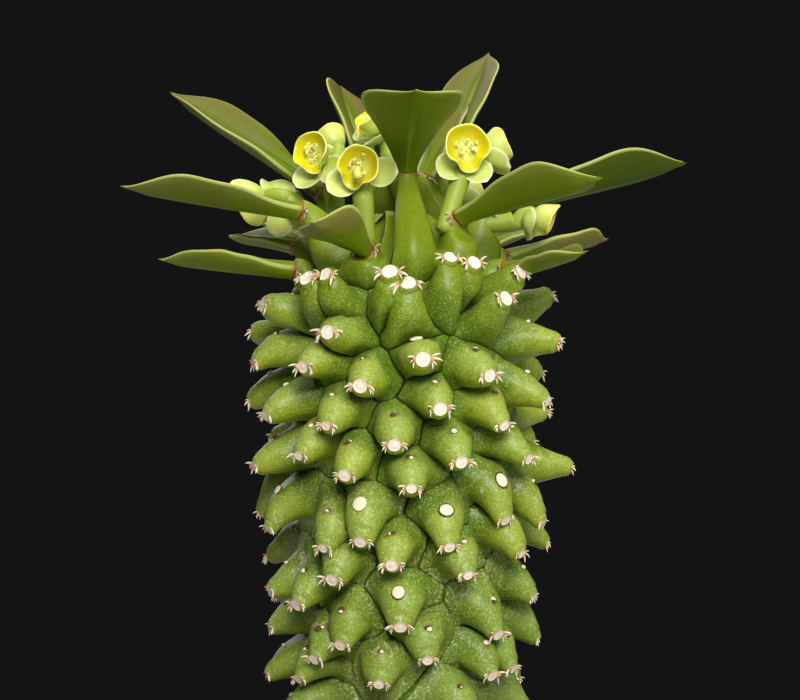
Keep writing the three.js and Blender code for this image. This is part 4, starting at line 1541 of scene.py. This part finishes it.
@dataclass
class Stem:
    """The stem: tubercles that swell out of fine creases, with scars, spines and dry buds."""

    growth: Growth
    nose_radius: float = 1.75
    blunt_radius: float = 2.5
    cap_depth: float = 0.72
    scar_radius: float = 1.3
    dwindling: float = 0.24
    stalk_radius: float = 2.0
    base_radius: float = 5.4
    roundness: float = 5.0
    crease_spacing: float = 1.5
    crease_lift: float = 1.1
    lip: float = 0.055
    lip_reach: float = 0.08
    swell_out: float = 0.4
    nose_pull: float = 0.3
    sway_size: float = 4.2
    sway: float = 0.3
    bud_stage: float = 0.44
    fewest_spines: int = 3
    soil_top: float = 78.0
    foot_depth: float = 34.0
    foot_radius: float = 7.0
    seed: int = 5
    stages: tuple[float, ...] = (0.015, 0.04, 0.08, 0.14, 0.22, 0.32, 0.44, 0.55, 0.66, 0.76, 0.85)
    spines: Seats = field(default_factory=Seats)
    pads: Seats = field(default_factory=Seats)
    buds: Seats = field(default_factory=Seats)
    marks: Seats = field(default_factory=Seats)

    def width(self, t: float) -> float:
        """How wide a tubercle is along its length, as a share of its base."""
        round_taper = (1 - smoothstep(t, -0.08, 0.92)) / (1 - smoothstep(0, -0.08, 0.92))
        taper = 0.6 * round_taper + 0.4 * (1 - t)
        return taper + self.lip * (t / self.lip_reach) * math.exp(1 - t / self.lip_reach)

    def build(self) -> None:
        """Makes the stem, its spines and its dry buds."""
        shell = Shell("along", "dorsal", "tint", "scar", "rim", "bud", "joint")
        creases = Creases(self.growth.core, shell, self.crease_spacing, self.crease_lift)
        draws = Draws(self.seed)
        for one, outline in zip(self.growth.tubercles, self.growth.outlines()):
            corners = [creases.corner(*place) for place in outline]
            corners = [c for i, c in enumerate(corners) if c != corners[(i + 1) % len(corners)]]
            ring = []
            for start, end in zip(corners, corners[1:] + corners[:1]):
                ring += creases.line(start, end)
            self.raise_tubercle(shell, creases, one, ring, draws)
        shell.creases = set(creases.spots)
        self.close(shell, creases)
        stem = shell.build("stem_body", StemSkin())
        LOG.info("stem: %d tubercles", len(self.growth.tubercles))
        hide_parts("stem")
        made = [
            stem,
            self.spines.grow(claw_sprig(SpineHorn(), 3), "stem_spines"),
            self.pads.grow(bead_sprig(SpineHorn(), 4, 0.5, 0.6), "stem_spine_pads"),
            self.buds.grow(bead_sprig(BudHusk(), 6, 0.5, 0.6), "stem_buds"),
            self.marks.grow(bead_sprig(BudHusk(), 8, 1.15, 0.14), "stem_flower_scars"),
        ]
        for piece in made:
            settle(piece)

    def raise_tubercle(
        self, shell: Shell, creases: Creases, one: Tubercle, ring: list[int], draws: Draws
    ) -> None:
        """Raises one tubercle from its crease ring.

        Args:
            shell: the stem's mesh.
            creases: the crease points.
            one: the tubercle.
            ring: the points of its own crease.
            draws: random numbers for what varies.
        """
        core = self.growth.core
        side, up, out = core.axes(one.turn, one.rise)
        root = creases.raised(one.turn, one.rise)
        away = np.array([creases.spots[i] for i in ring]) - root
        size = np.hypot(away @ side, away @ up)
        x, y = away @ side / size, away @ up / size
        neck = self.neck(one, draws)
        scar_share = self.scar_radius * self.dwindled(one) * draws.next(0.85, 1.15) / neck
        cap = self.cap_depth * neck
        crest = math.sin(math.acos(min(scar_share * 1.1, 1)))
        collar = 1.0 if one.leaf else cap * crest
        tint = draws.next()
        reach = float(np.linalg.norm(one.tip - root))
        foot_aim = root + out * self.swell_out * reach
        axis = Bezier(root, foot_aim, one.tip - one.nose * self.nose_pull * reach, one.tip)
        ridge = int(np.argmax(y))
        outward = heading(one.turn / DEGREE, 0)
        face = one.nose if one.leaf else unit(one.nose + outward * 0.8 * abs(one.nose[2]))
        last = 1 - collar / reach
        for t in (*(stage for stage in self.stages if stage < last - 0.06), last):
            tangent = axis.tangent(t)
            tangent = unit(tangent + (face - tangent) * smoothstep(t, 0.2, 1.0))
            across, above = carried(side, out, tangent), carried(up, out, tangent)
            radial = x[:, None] * across + y[:, None] * above
            inner = (size ** -self.roundness + self.base_radius ** -self.roundness) ** (-1 / self.roundness)
            half = size + (inner - size) * smoothstep(t, 0.0, 0.18)
            half = half + (self.base_radius - half) * smoothstep(t, 0.2, 0.7)
            skin = axis.at(t) + radial * (neck + (half - neck) * self.width(t))[:, None]
            sway = wobble(skin, self.sway_size, self.sway) * min(6 * t, 1) * min(5 * (1 - t), 1)
            skin = skin + radial * sway[:, None]
            bud = np.zeros(len(ring))
            if one.leaf is None and t == self.bud_stage:
                if one.flowered:
                    self.plant_flower_scar(skin[ridge], radial[ridge], tangent, draws.next(0.9, 1.15))
                else:
                    self.plant_bud(skin[ridge], radial[ridge], tangent, draws)
                    bud = 1 - smoothstep(np.linalg.norm(skin - skin[ridge], axis=1), 0.3, 1.2)
            new = shell.add(skin, along=t, dorsal=y, tint=tint, bud=bud)
            shell.band(ring, new)
            ring = list(new)
        across, above = carried(side, out, face), carried(up, out, face)
        radial = x[:, None] * across + y[:, None] * above
        *rings, middle = self.tip_rings(one, cap, crest, scar_share)
        for forth, share, scar, rim, joint in rings:
            new = shell.add(
                one.tip + face * forth + radial * neck * share,
                along=1, dorsal=y, tint=tint, scar=scar, rim=rim, joint=joint)
            shell.band(ring, new)
            ring = list(new)
        forth, _, scar, _, joint = middle
        end = shell.point(one.tip + face * forth, along=1, tint=tint, scar=scar, joint=joint)
        shell.fan(ring, end)
        edge = min(scar_share + 0.25 / neck, 1) if one.leaf is None else 0.9
        foot = face * cap * (math.sqrt(1 - edge ** 2) - crest) if one.leaf is None else face * -0.5
        self.plant_spines(one, across, above, (neck * edge, foot), draws)

    @staticmethod
    def tip_rings(one: Tubercle, cap: float, crest: float, scar_share: float) -> list[tuple]:
        """The rings that close a tubercle's tip, with its middle last.

        Args:
            one: the tubercle.
            cap: how deep the rounding of its nose is, in millimetres.
            crest: how much of that rounding the scar leaves.
            scar_share: the scar's width as a share of the nose's.

        Returns:
            How far forth each lies, its share of the nose's width, its scar, rim and joint.
        """
        if one.leaf:
            return [
                (-0.5, 1.0, 0, 0, 0.0), (-0.15, 0.96, 0, 0, 0.6),
                (0.0, 0.86, 0, 0, 1.0), (0.05, 0, 0, 0, 1.0),
            ]
        angles = np.linspace(0, math.asin(crest), 7)[1:]
        rounding = [(cap * (math.sin(a) - crest), math.cos(a), 0, 0, 0) for a in angles]
        return rounding + [
            (0.08, scar_share * 1.04, 0.1, 1.0, 0), (0.12, scar_share * 0.96, 1, 0.2, 0),
            (0.04, scar_share * 0.86, 1, 0, 0), (0.09, scar_share * 0.5, 1, 0, 0), (0.18, 0, 1, 0, 0),
        ]

    def neck(self, one: Tubercle, draws: Draws) -> float:
        """The radius of a tubercle's nose: narrow at most sides, blunt straight ahead.

        Args:
            one: the tubercle.
            draws: random numbers for what varies.

        Returns:
            The radius.
        """
        if one.leaf:
            return self.stalk_radius
        blunt = smoothstep(math.cos(one.turn), 0.6, 0.98) * smoothstep(one.tip[2], 176, 166)
        share = max(float(blunt) * draws.next(0.6, 1.0), draws.next(0.0, 0.5))
        radius = self.nose_radius + (self.blunt_radius - self.nose_radius) * share
        return radius * draws.next(0.94, 1.08) * self.dwindled(one) ** 0.5

    def dwindled(self, one: Tubercle) -> float:
        """How much smaller the old scars and spines are than those at the top of the stem."""
        return 1 - self.dwindling * float(smoothstep(one.tip[2], 172, 150)) if one.leaf is None else 1.0

    def plant_flower_scar(self, spot: np.ndarray, out: np.ndarray, tangent: np.ndarray, size: float) -> None:
        """Sets the round scar of an old flower, with its brown rim, on a tubercle's back."""
        aim = unit(out + tangent * 0.3)
        self.marks.add(spot + aim * 0.04, aim, tangent, size * 1.12, 0.8)
        self.marks.add(spot + aim * 0.12, aim, tangent, size, -1.0)

    def plant_bud(self, spot: np.ndarray, out: np.ndarray, tangent: np.ndarray, draws: Draws) -> None:
        """Sets a small dry bud on a tubercle's back.

        Args:
            spot: the place on the back.
            out: the direction out of it.
            tangent: the direction to the tip.
            draws: random numbers for what varies.
        """
        side = np.cross(tangent, out)
        for tone in (0.0, 1.0):
            shift = side * draws.next(-0.35, 0.35) + tangent * draws.next(-0.3, 0.3)
            self.buds.add(spot + shift, out, side, draws.next(0.7, 1.2), tone)

    def plant_spines(
        self, one: Tubercle, across: np.ndarray, above: np.ndarray, seat: tuple, draws: Draws
    ) -> None:
        """Sets a tuft of short spines at each side of a tubercle's tip.

        Args:
            one: the tubercle.
            across: the direction to its side.
            above: the direction to its back.
            seat: how far out from the tip the tufts stand, and the way from the tip down to them.
            draws: random numbers for what varies.
        """
        tone = 0.75 if one.leaf else 0.0
        small = self.dwindled(one)
        for hand in (-1, 1):
            foot = one.tip + seat[1] + across * hand * seat[0]
            bulk = draws.next(0.8, 1.2) * small
            self.pads.add(foot, across * hand, one.nose, bulk, draws.next(0.0, 0.5) + tone * 0.4)
            count = self.fewest_spines + int(draws.next(0, 3))
            for k in range(count):
                lean = -0.95 + 1.7 * k / (count - 1) + draws.next(-0.2, 0.2)
                aim = across * hand * math.cos(lean) + above * (math.sin(lean) - 0.2)
                aim = aim + one.nose * draws.next(0.1, 0.6)
                spot = foot + above * 0.55 * small * math.sin(lean)
                size = draws.next(0.7, 1.3) * small
                self.spines.add(spot, unit(aim), one.nose * 0.3 - UP, size, tone * draws.next(0.5, 1.2))

    def close(self, shell: Shell, creases: Creases) -> None:
        """Closes the stem with a low dome on top and a plain buried foot.

        Args:
            shell: the stem's mesh.
            creases: the crease points.
        """
        top = self.growth.core.rises[-1]

        def ring_at(rise: float) -> list[int]:
            """The crease points at a rise, in order of their turn."""
            found = [i for i, place in creases.places.items() if abs(place[1] - rise) < 1e-6]
            return sorted(found, key=lambda i: turn_between(0, creases.places[i][0]))

        shell.fan(ring_at(top), shell.point(UP * self.growth.core.top, tint=0.5))
        foot = ring_at(0.0)
        turns = [creases.places[i][0] / DEGREE for i in foot]
        upper = np.array([self.growth.core.foot_radius - 0.4, self.soil_top - 0.8])
        lower = np.array([self.foot_radius, self.soil_top - self.foot_depth])
        ring = foot
        for share in (0.0, 0.3, 0.65, 1.0):
            radius, height = upper + (lower - upper) * share
            new = shell.add(np.array([polar(turn, radius, height) for turn in turns]), joint=0.5, tint=0.5)
            shell.band(new, ring)
            ring = list(new)
        shell.fan(ring[::-1], shell.point(UP * (self.soil_top - self.foot_depth), joint=0.5))


def settle(piece: bpy.types.Object) -> None:
    """Lets a piece ride on the plant's one body."""
    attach(piece, "root")
    LOG.info("%s: %d faces", piece.name, len(piece.data.polygons))


@dataclass
class Leaf:
    """A fleshy leaf, keeled below and channelled above, that bends away from its stalk."""

    number: int
    stalk: Tubercle
    thickness: float = 2.7
    stalk_width: float = 3.6
    bend: float = 4.0
    curl: float = 0.05
    channel: float = 0.34
    keel: float = 0.72
    seat: float = 0.05
    wave: float = 0.18
    stations: int = 44
    sides: int = 28

    def half_width(self, t: float, width: float) -> float:
        """Half the leaf's width along its length: a stalk, a broad shoulder and a pointed tip."""
        swell = smoothstep(t, -0.06, 0.72)
        close = smoothstep(t, 0.68, 1.05) ** 1.5
        return float((self.stalk_width / 2) * (1 - t) + (width / 2) * swell * (1 - close))

    def build(self) -> None:
        """Makes the leaf and lets it take its node's place."""
        form = self.stalk.leaf
        tone = {"blush": form.blush, "deep": form.deep}
        draws = Draws(100 + self.number)
        shell = Shell("along", "across", "top", "blush", "deep")
        forward = heading(form.heading, form.rise)
        level = turned_about(heading(form.heading + 90, 0), forward, form.roll * DEGREE)
        start = self.stalk.tip + self.stalk.nose * self.seat
        bend = start + self.stalk.nose * (self.bend + 0.25)
        spine = Bezier(start, bend, bend + forward * (form.length - self.bend))
        angles = np.linspace(-math.pi / 2, 1.5 * math.pi, self.sides, endpoint=False)
        u, v = np.cos(angles), np.sin(angles)
        phase = draws.next(0, 6.28)
        waves = draws.next(2.0, 3.2)
        rings = []
        for t in np.linspace(0, 1, self.stations):
            share = spine.even(t)
            tangent = spine.tangent(share)
            above = unit(np.cross(tangent, level))
            across = np.cross(above, tangent)
            half = self.half_width(t, form.width)
            thick = self.thickness * (1 - 0.6 * t) * (1 - 0.6 * float(smoothstep(t, 0.86, 1.0)))
            fold = self.channel * half * float(smoothstep(t, 0.05, 0.4))
            bump = 0.1 + 0.46 * smoothstep(abs(u), 0, 0.45)
            keel = self.keel * (0.45 * (1 - abs(u)) + 0.55 * abs(v))
            depth = np.where(v >= 0, bump * v, -keel) * thick
            swell = self.wave * float(smoothstep(t, 0.2, 0.6))
            ripple = swell * np.sin(waves * 2 * math.pi * t + phase + (u > 0))
            height = fold * abs(u) ** 1.4 + depth + ripple * u ** 2
            middle = spine.at(share) + above * self.curl * form.length * t * t
            skin = middle + (half * u)[:, None] * across + height[:, None] * above
            rings.append(shell.add(skin, along=t, across=u, top=v > 0, **tone))
        foot = shell.point(spine.at(0.0) - spine.tangent(0.0) * 0.05, **tone)
        tip = shell.point(middle + tangent * 1.1 + above * 0.12, along=1, across=1, top=1, **tone)
        shell.loft(rings, foot, tip)
        blade = shell.build(f"leaf_blade_{self.number:02d}", LeafSkin())
        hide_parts(f"leaf_{self.number:02d}")
        settle(blade)


@dataclass
class FlowerHead:
    """A flower head: its stalks, two bracts under each cup, and the yellow cups."""

    number: int
    place: HeadPlace
    cup_radius: float = 3.5
    cup_depth: float = 3.6
    bract_length: float = 6.1
    bract_width: float = 5.5
    bract_thickness: float = 0.72
    peduncle_radius: float = 1.95
    pedicel_radius: float = 1.15
    rooting: float = 5.0
    sides: int = 48
    stamen_count: int = 11
    profile: tuple[tuple[float, float], ...] = (
        (0.3, -0.02), (0.56, 0.12), (0.76, 0.42), (0.9, 0.74), (0.99, 0.95), (1.0, 1.03),
        (0.94, 1.05), (0.88, 0.98), (0.82, 0.84), (0.72, 0.66), (0.58, 0.5), (0.42, 0.4),
        (0.24, 0.36), (0.08, 0.35),
    )

    def build(self, stamens: Seats) -> None:
        """Makes the head and its cups.

        Args:
            stamens: where the seats of its stamens are kept.
        """
        shell = Shell("blade", "along", "edge")
        root, fork = np.array(self.place.root, float), np.array(self.place.fork, float)
        below = root - unit(fork - root) * self.rooting
        top = fork + UP * 0.8
        path = Bezier(below, (root + fork) / 2, top)
        self.tube(shell, path, 1.5, self.peduncle_radius, 20, 20, rounding=0.45)
        for j, cup in enumerate(self.place.cups):
            out, _, _ = cup.axes()
            seat = np.array(cup.at) - out * (self.cup_depth + 0.05)
            knee = seat - out * 2
            begin = fork - unit(knee - fork) * 0.6
            path = Bezier(begin, knee, seat)
            self.tube(shell, path, self.pedicel_radius * 1.3, self.pedicel_radius * 1.1, 18, 10)
            for lean in cup.leans:
                self.bract(shell, cup, lean)
            self.cup(cup, f"{self.number}_{j + 1}", stamens)
        body = shell.build(f"flower_stalks_{self.number}", BractSkin())
        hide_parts(f"flower_head_{self.number}")
        settle(body)

    @staticmethod
    def tube(
        shell: Shell, path: Bezier, start: float, end: float, sides: int, steps: int,
        rounding: float = 0.0, **marks: float
    ) -> None:
        """Adds a round stalk along a path, closed at both ends.

        Args:
            shell: the mesh that it goes into.
            path: the middle of the stalk.
            start: radius at its start.
            end: radius at its end.
            sides: points round it.
            steps: rings along it.
            rounding: how much narrower its last stretch grows, as a share of its radius.
            marks: numbers that all of its points carry.
        """
        before = path.tangent(0.0)
        across = unit(np.cross(before, [0.3, 0.9, 0.2]))
        angles = np.linspace(0, 2 * math.pi, sides, endpoint=False)
        rings = []
        for t in np.linspace(0, 1, steps + 1):
            tangent = path.tangent(t)
            across = unit(carried(across, before, tangent))
            before = tangent
            above = np.cross(tangent, across)
            radius = (start + (end - start) * t) * (1 - rounding * float(smoothstep(t, 0.82, 1.0)))
            radial = np.cos(angles)[:, None] * across + np.sin(angles)[:, None] * above
            rings.append(shell.add(path.at(t) + radius * radial, along=t, **marks))
        foot = shell.point(path.at(0.0) - path.tangent(0.0) * start * 0.3, **marks)
        top = shell.point(path.at(1.0) + path.tangent(1.0) * end * 0.3, along=1, **marks)
        shell.loft(rings, foot, top)

    def bract(self, shell: Shell, cup: CupPlace, lean: float) -> None:
        """Adds a bract: an arched blade that leaves the flower's foot and opens beside its cup.

        Args:
            shell: the mesh that it goes into.
            cup: the cup that it stands under.
            lean: its turn from straight down, in radians.
        """
        out, side, up = cup.axes()
        foot = np.array(cup.at) - out * (self.cup_depth + 1.1)
        outward = side * math.sin(lean) - up * math.cos(lean)
        across = np.cross(out, outward)
        angles = np.linspace(-math.pi / 2, 1.5 * math.pi, 20, endpoint=False)
        u, v = np.cos(angles), np.sin(angles)
        length = self.bract_length * (0.9 + 0.1 * cup.size)
        rings = []
        for t in np.linspace(0, 0.985, 18):
            half = (self.bract_width / 2) * 2.02 * (1 - t) ** 0.5 * (t + 0.05) ** 0.6
            thick = self.bract_thickness / 2 * (1 - 0.72 * u ** 2) * (1 - 0.4 * t)
            middle = foot + outward * (0.6 + length * t) + out * (length * 0.42 * t * t - 0.1)
            height = 0.34 * half * abs(u) ** 1.6 + thick * v + 0.16 * np.sin(5 * t + lean) * u ** 2
            skin = middle + (half * u)[:, None] * across + height[:, None] * out
            rings.append(shell.add(skin, blade=1, along=t, edge=np.maximum(abs(u), smoothstep(t, 0.7, 1.0))))
        base = shell.point(foot + outward * 0.5 - out * 0.1, blade=1)
        tip = shell.point(middle + outward * 0.3 + out * 0.2, blade=1, along=1, edge=1)
        shell.loft(rings, base, tip)

    def cup(self, cup: CupPlace, label: str, stamens: Seats) -> None:
        """Makes a cup: a bowl whose rim dips and folds in at its open side.

        Args:
            cup: where it stands.
            label: the numbers of its head and itself.
            stamens: where the seats of its stamens are kept.
        """
        out, side, up = cup.axes()
        base = np.array(cup.at) - out * self.cup_depth
        angles = np.linspace(-math.pi, math.pi, self.sides, endpoint=False)
        from_gap = np.abs(angles + math.pi / 2)
        from_gap = np.minimum(from_gap, 2 * math.pi - from_gap)
        dip = np.exp(-((from_gap / 0.55) ** 4))
        pinch = np.exp(-(((from_gap - 0.68) / 0.24) ** 2))
        draws = Draws(300 + int(label.replace("_", "")))
        phase = draws.next(0, 6.28)
        shell = Shell("profile")
        rings = []
        knots = np.arange(len(self.profile))
        fine = np.linspace(0, len(self.profile) - 1, 40)
        table = np.array(self.profile)
        for k in fine:
            radius, height = (smooth_through(knots, table[:, c], k) for c in (0, 1))
            low = dip * np.clip(height, 0, 1)
            pull = 1 + 0.08 * low - 0.09 * pinch * np.clip(height, 0, 1) ** 2
            ripple = 1 + 0.025 * height * np.sin(5 * angles + phase)
            reach = self.cup_radius * cup.size * radius * pull * ripple
            rise = self.cup_depth * height * (1 - 0.5 * low) * (1 + 0.05 * np.sin(3 * angles + phase))
            skin = base + (reach * np.cos(angles))[:, None] * side \
                + (reach * np.sin(angles))[:, None] * up + rise[:, None] * out
            rings.append(shell.add(skin, profile=k / fine[-1]))
        foot = shell.point(base - out * 0.1)
        floor = shell.point(base + out * self.cup_depth * 0.35, profile=1)
        shell.loft(rings, foot, floor)
        if cup.ovary:
            start = base + out * self.cup_depth * 0.3
            path = Bezier(start, start + out * 3.4 - up * 0.6, start + out * 3.6 - up * 2.2 + side * 1.2)
            self.tube(shell, path, 0.55, 0.8, 12, 8, profile=1)
        bowl = shell.build(f"flower_bowl_{label}", CupSkin())
        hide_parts(f"flower_cup_{label}")
        settle(bowl)
        for _ in range(self.stamen_count):
            angle, spread = draws.next(0, 2 * math.pi), math.sqrt(draws.next()) * 0.36
            reach = self.cup_radius * cup.size * spread
            radial = side * math.cos(angle) + up * math.sin(angle)
            spot = base + out * self.cup_depth * 0.34 + radial * reach
            aim = unit(out + radial * spread * 1.1 + up * 0.15)
            stamens.add(spot, aim, unit(np.cross(aim, radial)), draws.next(1.3, 2.1), 0.0)


def smooth_through(knots: np.ndarray, values: np.ndarray, at: float) -> float:
    """A smooth value between evenly spaced ones, by a cubic through the nearest four.

    Args:
        knots: the whole numbers from 0.
        values: a value at each.
        at: where the value is asked for.

    Returns:
        The value there.
    """
    last = len(knots) - 1
    i = min(int(at), last - 1)
    t = at - i
    a, b, c, d = (values[min(max(j, 0), last)] for j in (i - 1, i, i + 1, i + 2))
    bend = 2 * a - 5 * b + 4 * c - d
    return float(b + 0.5 * t * (c - a + t * (bend + t * (3 * (b - c) + d - a))))


# The pot and its soil

@dataclass
class Pot:
    """A plain clay pot: a tapered wall under a deeper rim band, with drain holes in its floor."""

    height: float = 88.0
    top_radius: float = 49.0
    foot_radius: float = 33.0
    wall: float = 4.5
    floor: float = 6.0
    rim_depth: float = 19.0
    rim_step: float = 3.0
    drain_holes: int = 3
    drain_radius: float = 4.0
    drain_from_centre: float = 17.0
    drill_sides: int = 32
    sides: int = 120
    round_steps: int = 5
    sharp_from: float = 40.0
    sway_size: float = 24.0
    sway: float = 0.22

    def inside(self, height: float) -> float:
        """Inner radius of the wall at a height."""
        share = (height - self.floor) / (self.height - 1 - self.floor)
        return self.foot_radius - self.wall + share * (self.top_radius - self.foot_radius)

    def outline(self) -> list[tuple[float, float]]:
        """The profile from the foot's edge over the rim to the floor's edge.

        Returns:
            Its points, each a distance from the axis and a height.
        """
        band = self.height - self.rim_depth
        shoulder = self.top_radius - self.rim_step
        inner_top = self.top_radius - self.wall
        # Each corner: its distance from the axis, its height and how far its rounding reaches.
        corners = [
            (self.foot_radius, 0.0, 1.2), (shoulder - 1, band, 0.8), (self.top_radius - 0.9, band, 1.2),
            (self.top_radius, self.height, 1.8), (inner_top, self.height, 1.4),
            (self.foot_radius - self.wall, self.floor, 2.0),
        ]
        path = [(0.0, 0.0), *((x, z) for x, z, _ in corners), (0.0, self.floor)]
        found = []
        for k, (x, z, radius) in enumerate(corners, start=1):
            here = np.array([x, z])
            arrive = unit(here - np.array(path[k - 1]))
            leave = unit(np.array(path[k + 1]) - here)
            start, end = here - arrive * radius, here + leave * radius
            for t in np.linspace(0, 1, self.round_steps + 1):
                found.append(tuple(start * (1 - t) ** 2 + here * 2 * t * (1 - t) + end * t * t))
        return self.spaced(found)

    @staticmethod
    def spaced(outline: list[tuple[float, float]], longest: float = 4.0) -> list[tuple[float, float]]:
        """Adds points where two of an outline's points are far apart.

        Args:
            outline: the points.
            longest: about how far apart they may be.

        Returns:
            The outline with what was added.
        """
        found = [outline[0]]
        for before, after in zip(outline, outline[1:]):
            count = max(1, round(math.dist(before, after) / longest))
            for k in range(1, count + 1):
                found.append(tuple(np.array(before) + (np.array(after) - np.array(before)) * k / count))
        return found

    def build(self) -> None:
        """Turns the pot, drills its floor and dresses it."""
        shell = Shell()
        circle = circle_of(self.sides)
        rings = []
        for radius, height in self.outline():
            skin = circle * radius + UP * height
            outer = radius > self.foot_radius - 0.5
            amount = self.sway if outer and height > 1.5 else 0.0
            sway = wobble(skin, self.sway_size, amount)
            rings.append(shell.add(skin + circle * sway[:, None]))
        shell.loft(rings, shell.point(0 * UP), shell.point(UP * self.floor))
        pot = self.drilled(shell.build("pot_turned", ClayBody()))
        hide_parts("pot")
        settle(pot)

    def drilled(self, turned: bpy.types.Object) -> bpy.types.Object:
        """Cuts the drain holes.

        Args:
            turned: the pot without holes; it is removed.

        Returns:
            The pot with holes.
        """
        drills = Shell()
        angles = np.linspace(0, 2 * math.pi, self.drill_sides, endpoint=False)
        circle = np.stack([np.cos(angles), np.sin(angles), 0 * angles], axis=1)
        heights = (-self.floor, 2 * self.floor)
        for i in range(self.drain_holes):
            centre = polar(360 * i / self.drain_holes, self.drain_from_centre, 0)
            rings = [drills.add(centre + circle * self.drain_radius + UP * z) for z in heights]
            drills.loft(rings, *(drills.point(centre + UP * z) for z in heights))
        tool = drills.build("pot_drills")
        cut = turned.modifiers.new("drain_holes", "BOOLEAN")
        cut.operation = "DIFFERENCE"
        cut.object = tool
        graph = bpy.context.evaluated_depsgraph_get()
        mesh = bpy.data.meshes.new_from_object(turned.evaluated_get(graph), depsgraph=graph)
        for spent in (turned, tool):
            bpy.data.objects.remove(spent)
        mesh.set_sharp_from_angle(angle=self.sharp_from * DEGREE)
        return placed("pot_body", mesh)


@dataclass
class Soil:
    """Gritty soil with a lumpy top, strewn with small stones, round a hole for the stem's foot."""

    pot: Pot
    stem: Stem
    relief: float = 1.3
    wall_gap: float = 0.5
    seat_gap: float = 0.3
    stone_spacing: float = 1.9
    sides: int = 120
    rings: int = 26
    seed: int = 7

    def build(self) -> None:
        """Makes the soil and its stones."""
        shell = Shell("open")
        circle = circle_of(self.sides)
        top = self.stem.soil_top
        under = self.pot.floor + self.seat_gap
        edge = self.pot.inside(top) - self.wall_gap
        hole = self.stem.growth.core.foot_radius + self.seat_gap
        rings = [shell.add(circle * (self.pot.inside(under) - self.wall_gap) + UP * under)]
        for share in np.linspace(1, 0, self.rings):
            radius = hole + share * (edge - hole)
            skin = circle * radius + UP * top
            lumps = wobble(skin, 9, self.relief * 0.7) + wobble(skin, 2.6, self.relief * 0.4)
            sunk = 0.6 * smoothstep(share, 0.95, 1.0) + 0.8 * smoothstep(share, 0.06, 0.0 - 1e-6)
            skin = skin + UP * (lumps * (share < 0.99) - sunk)[:, None]
            rings.append(shell.add(skin, open=1.0 if 0.05 < share < 0.95 else 0.0))
        bottom = top - self.stem.foot_depth - self.seat_gap
        rings.append(shell.add(circle * (self.stem.foot_radius + self.seat_gap) + UP * bottom))
        shell.loft(rings, shell.point(UP * under), shell.point(UP * bottom))
        soil = shell.build("soil_bed", SoilCrumb())
        host = placed("grit_host", soil.data.copy())
        grit = grit_sprig(GritStone(), self.seed, self.stone_spacing * MM).grow(host, "soil_grit")
        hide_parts("soil")
        for piece in (soil, grit):
            settle(piece)


# The studio

class Softbox(Enum):
    """The studio's lights: place in metres, size in metres, power in watts and warmth."""

    KEY = ((0.13, -0.85, 0.68), 0.42, 11.8, (1.0, 0.99, 0.95))
    FILL = ((0.85, -0.5, 0.4), 0.7, 2.2, (0.97, 0.99, 1.0))
    TOP = ((0.0, -0.05, 1.0), 0.5, 5.0, (1.0, 1.0, 1.0))
    REAR = ((-0.3, 0.9, 0.6), 0.7, 2.8, (1.0, 1.0, 1.0))


@dataclass
class Studio:
    """A pale floor, soft lights and the camera at the photograph's angle."""

    focus: tuple[float, float, float] = (-0.0005, 0.0, 0.165)
    distance: float = 0.5
    elevation: float = 2.5
    lens: float = 125.0
    floor_radius: float = 0.55
    floor_sides: int = 96
    ambient: float = 0.007

    def build(self) -> None:
        """Sets up the studio."""
        self.camera()
        self.lights()
        self.floor()

    def camera(self) -> None:
        """Places the camera level with the plant's middle."""
        data = bpy.data.cameras.new("camera")
        data.lens = self.lens
        data.clip_start = 0.01
        camera = placed("camera", data)
        away = Vector(heading(0, self.elevation)) * self.distance
        camera.location = Vector(self.focus) + away
        camera.rotation_euler = (-away).to_track_quat("-Z", "Y").to_euler()
        bpy.context.scene.camera = camera

    def lights(self) -> None:
        """Hangs the soft lights and sets the ambient light."""
        for box in Softbox:
            place, size, power, warmth = box.value
            data = bpy.data.lights.new(box.name.lower(), "AREA")
            data.size = size
            data.energy = power
            data.color = warmth
            lamp = placed(box.name.lower(), data)
            lamp.location = place
            aim = Vector(self.focus) - Vector(place)
            lamp.rotation_euler = aim.to_track_quat("-Z", "Y").to_euler()
        world = bpy.data.worlds.new("studio")
        world.use_nodes = True
        world.node_tree.nodes["Background"].inputs["Color"].default_value = (self.ambient,) * 3 + (1,)
        bpy.context.scene.world = world
        bpy.context.scene.view_settings.view_transform = "Standard"

    def floor(self) -> None:
        """Lays the pale floor."""
        shell = Shell()
        ring = shell.add(circle_of(self.floor_sides) * self.floor_radius / MM)
        shell.fan(ring, shell.point(0 * UP))
        floor = shell.build("floor", FloorPaper())


def main() -> None:
    """Builds every piece in order."""
    logging.basicConfig(level=logging.INFO, format="%(message)s")
    Studio().build()
    growth = Growth(Core())
    stem = Stem(growth)
    stem.build()
    stalks = [one for one in growth.tubercles if one.leaf]
    for number, stalk in enumerate(stalks, start=1):
        Leaf(number, stalk).build()
    stamens = Seats()
    for number, place in enumerate(HEADS, start=1):
        FlowerHead(number, place).build(stamens)
    settle(stamens.grow(stamen_sprig(StamenCream(), 9), "flower_stamens"))
    pot = Pot()
    pot.build()
    Soil(pot, stem).build()


if __name__ == "__main__":
    main()
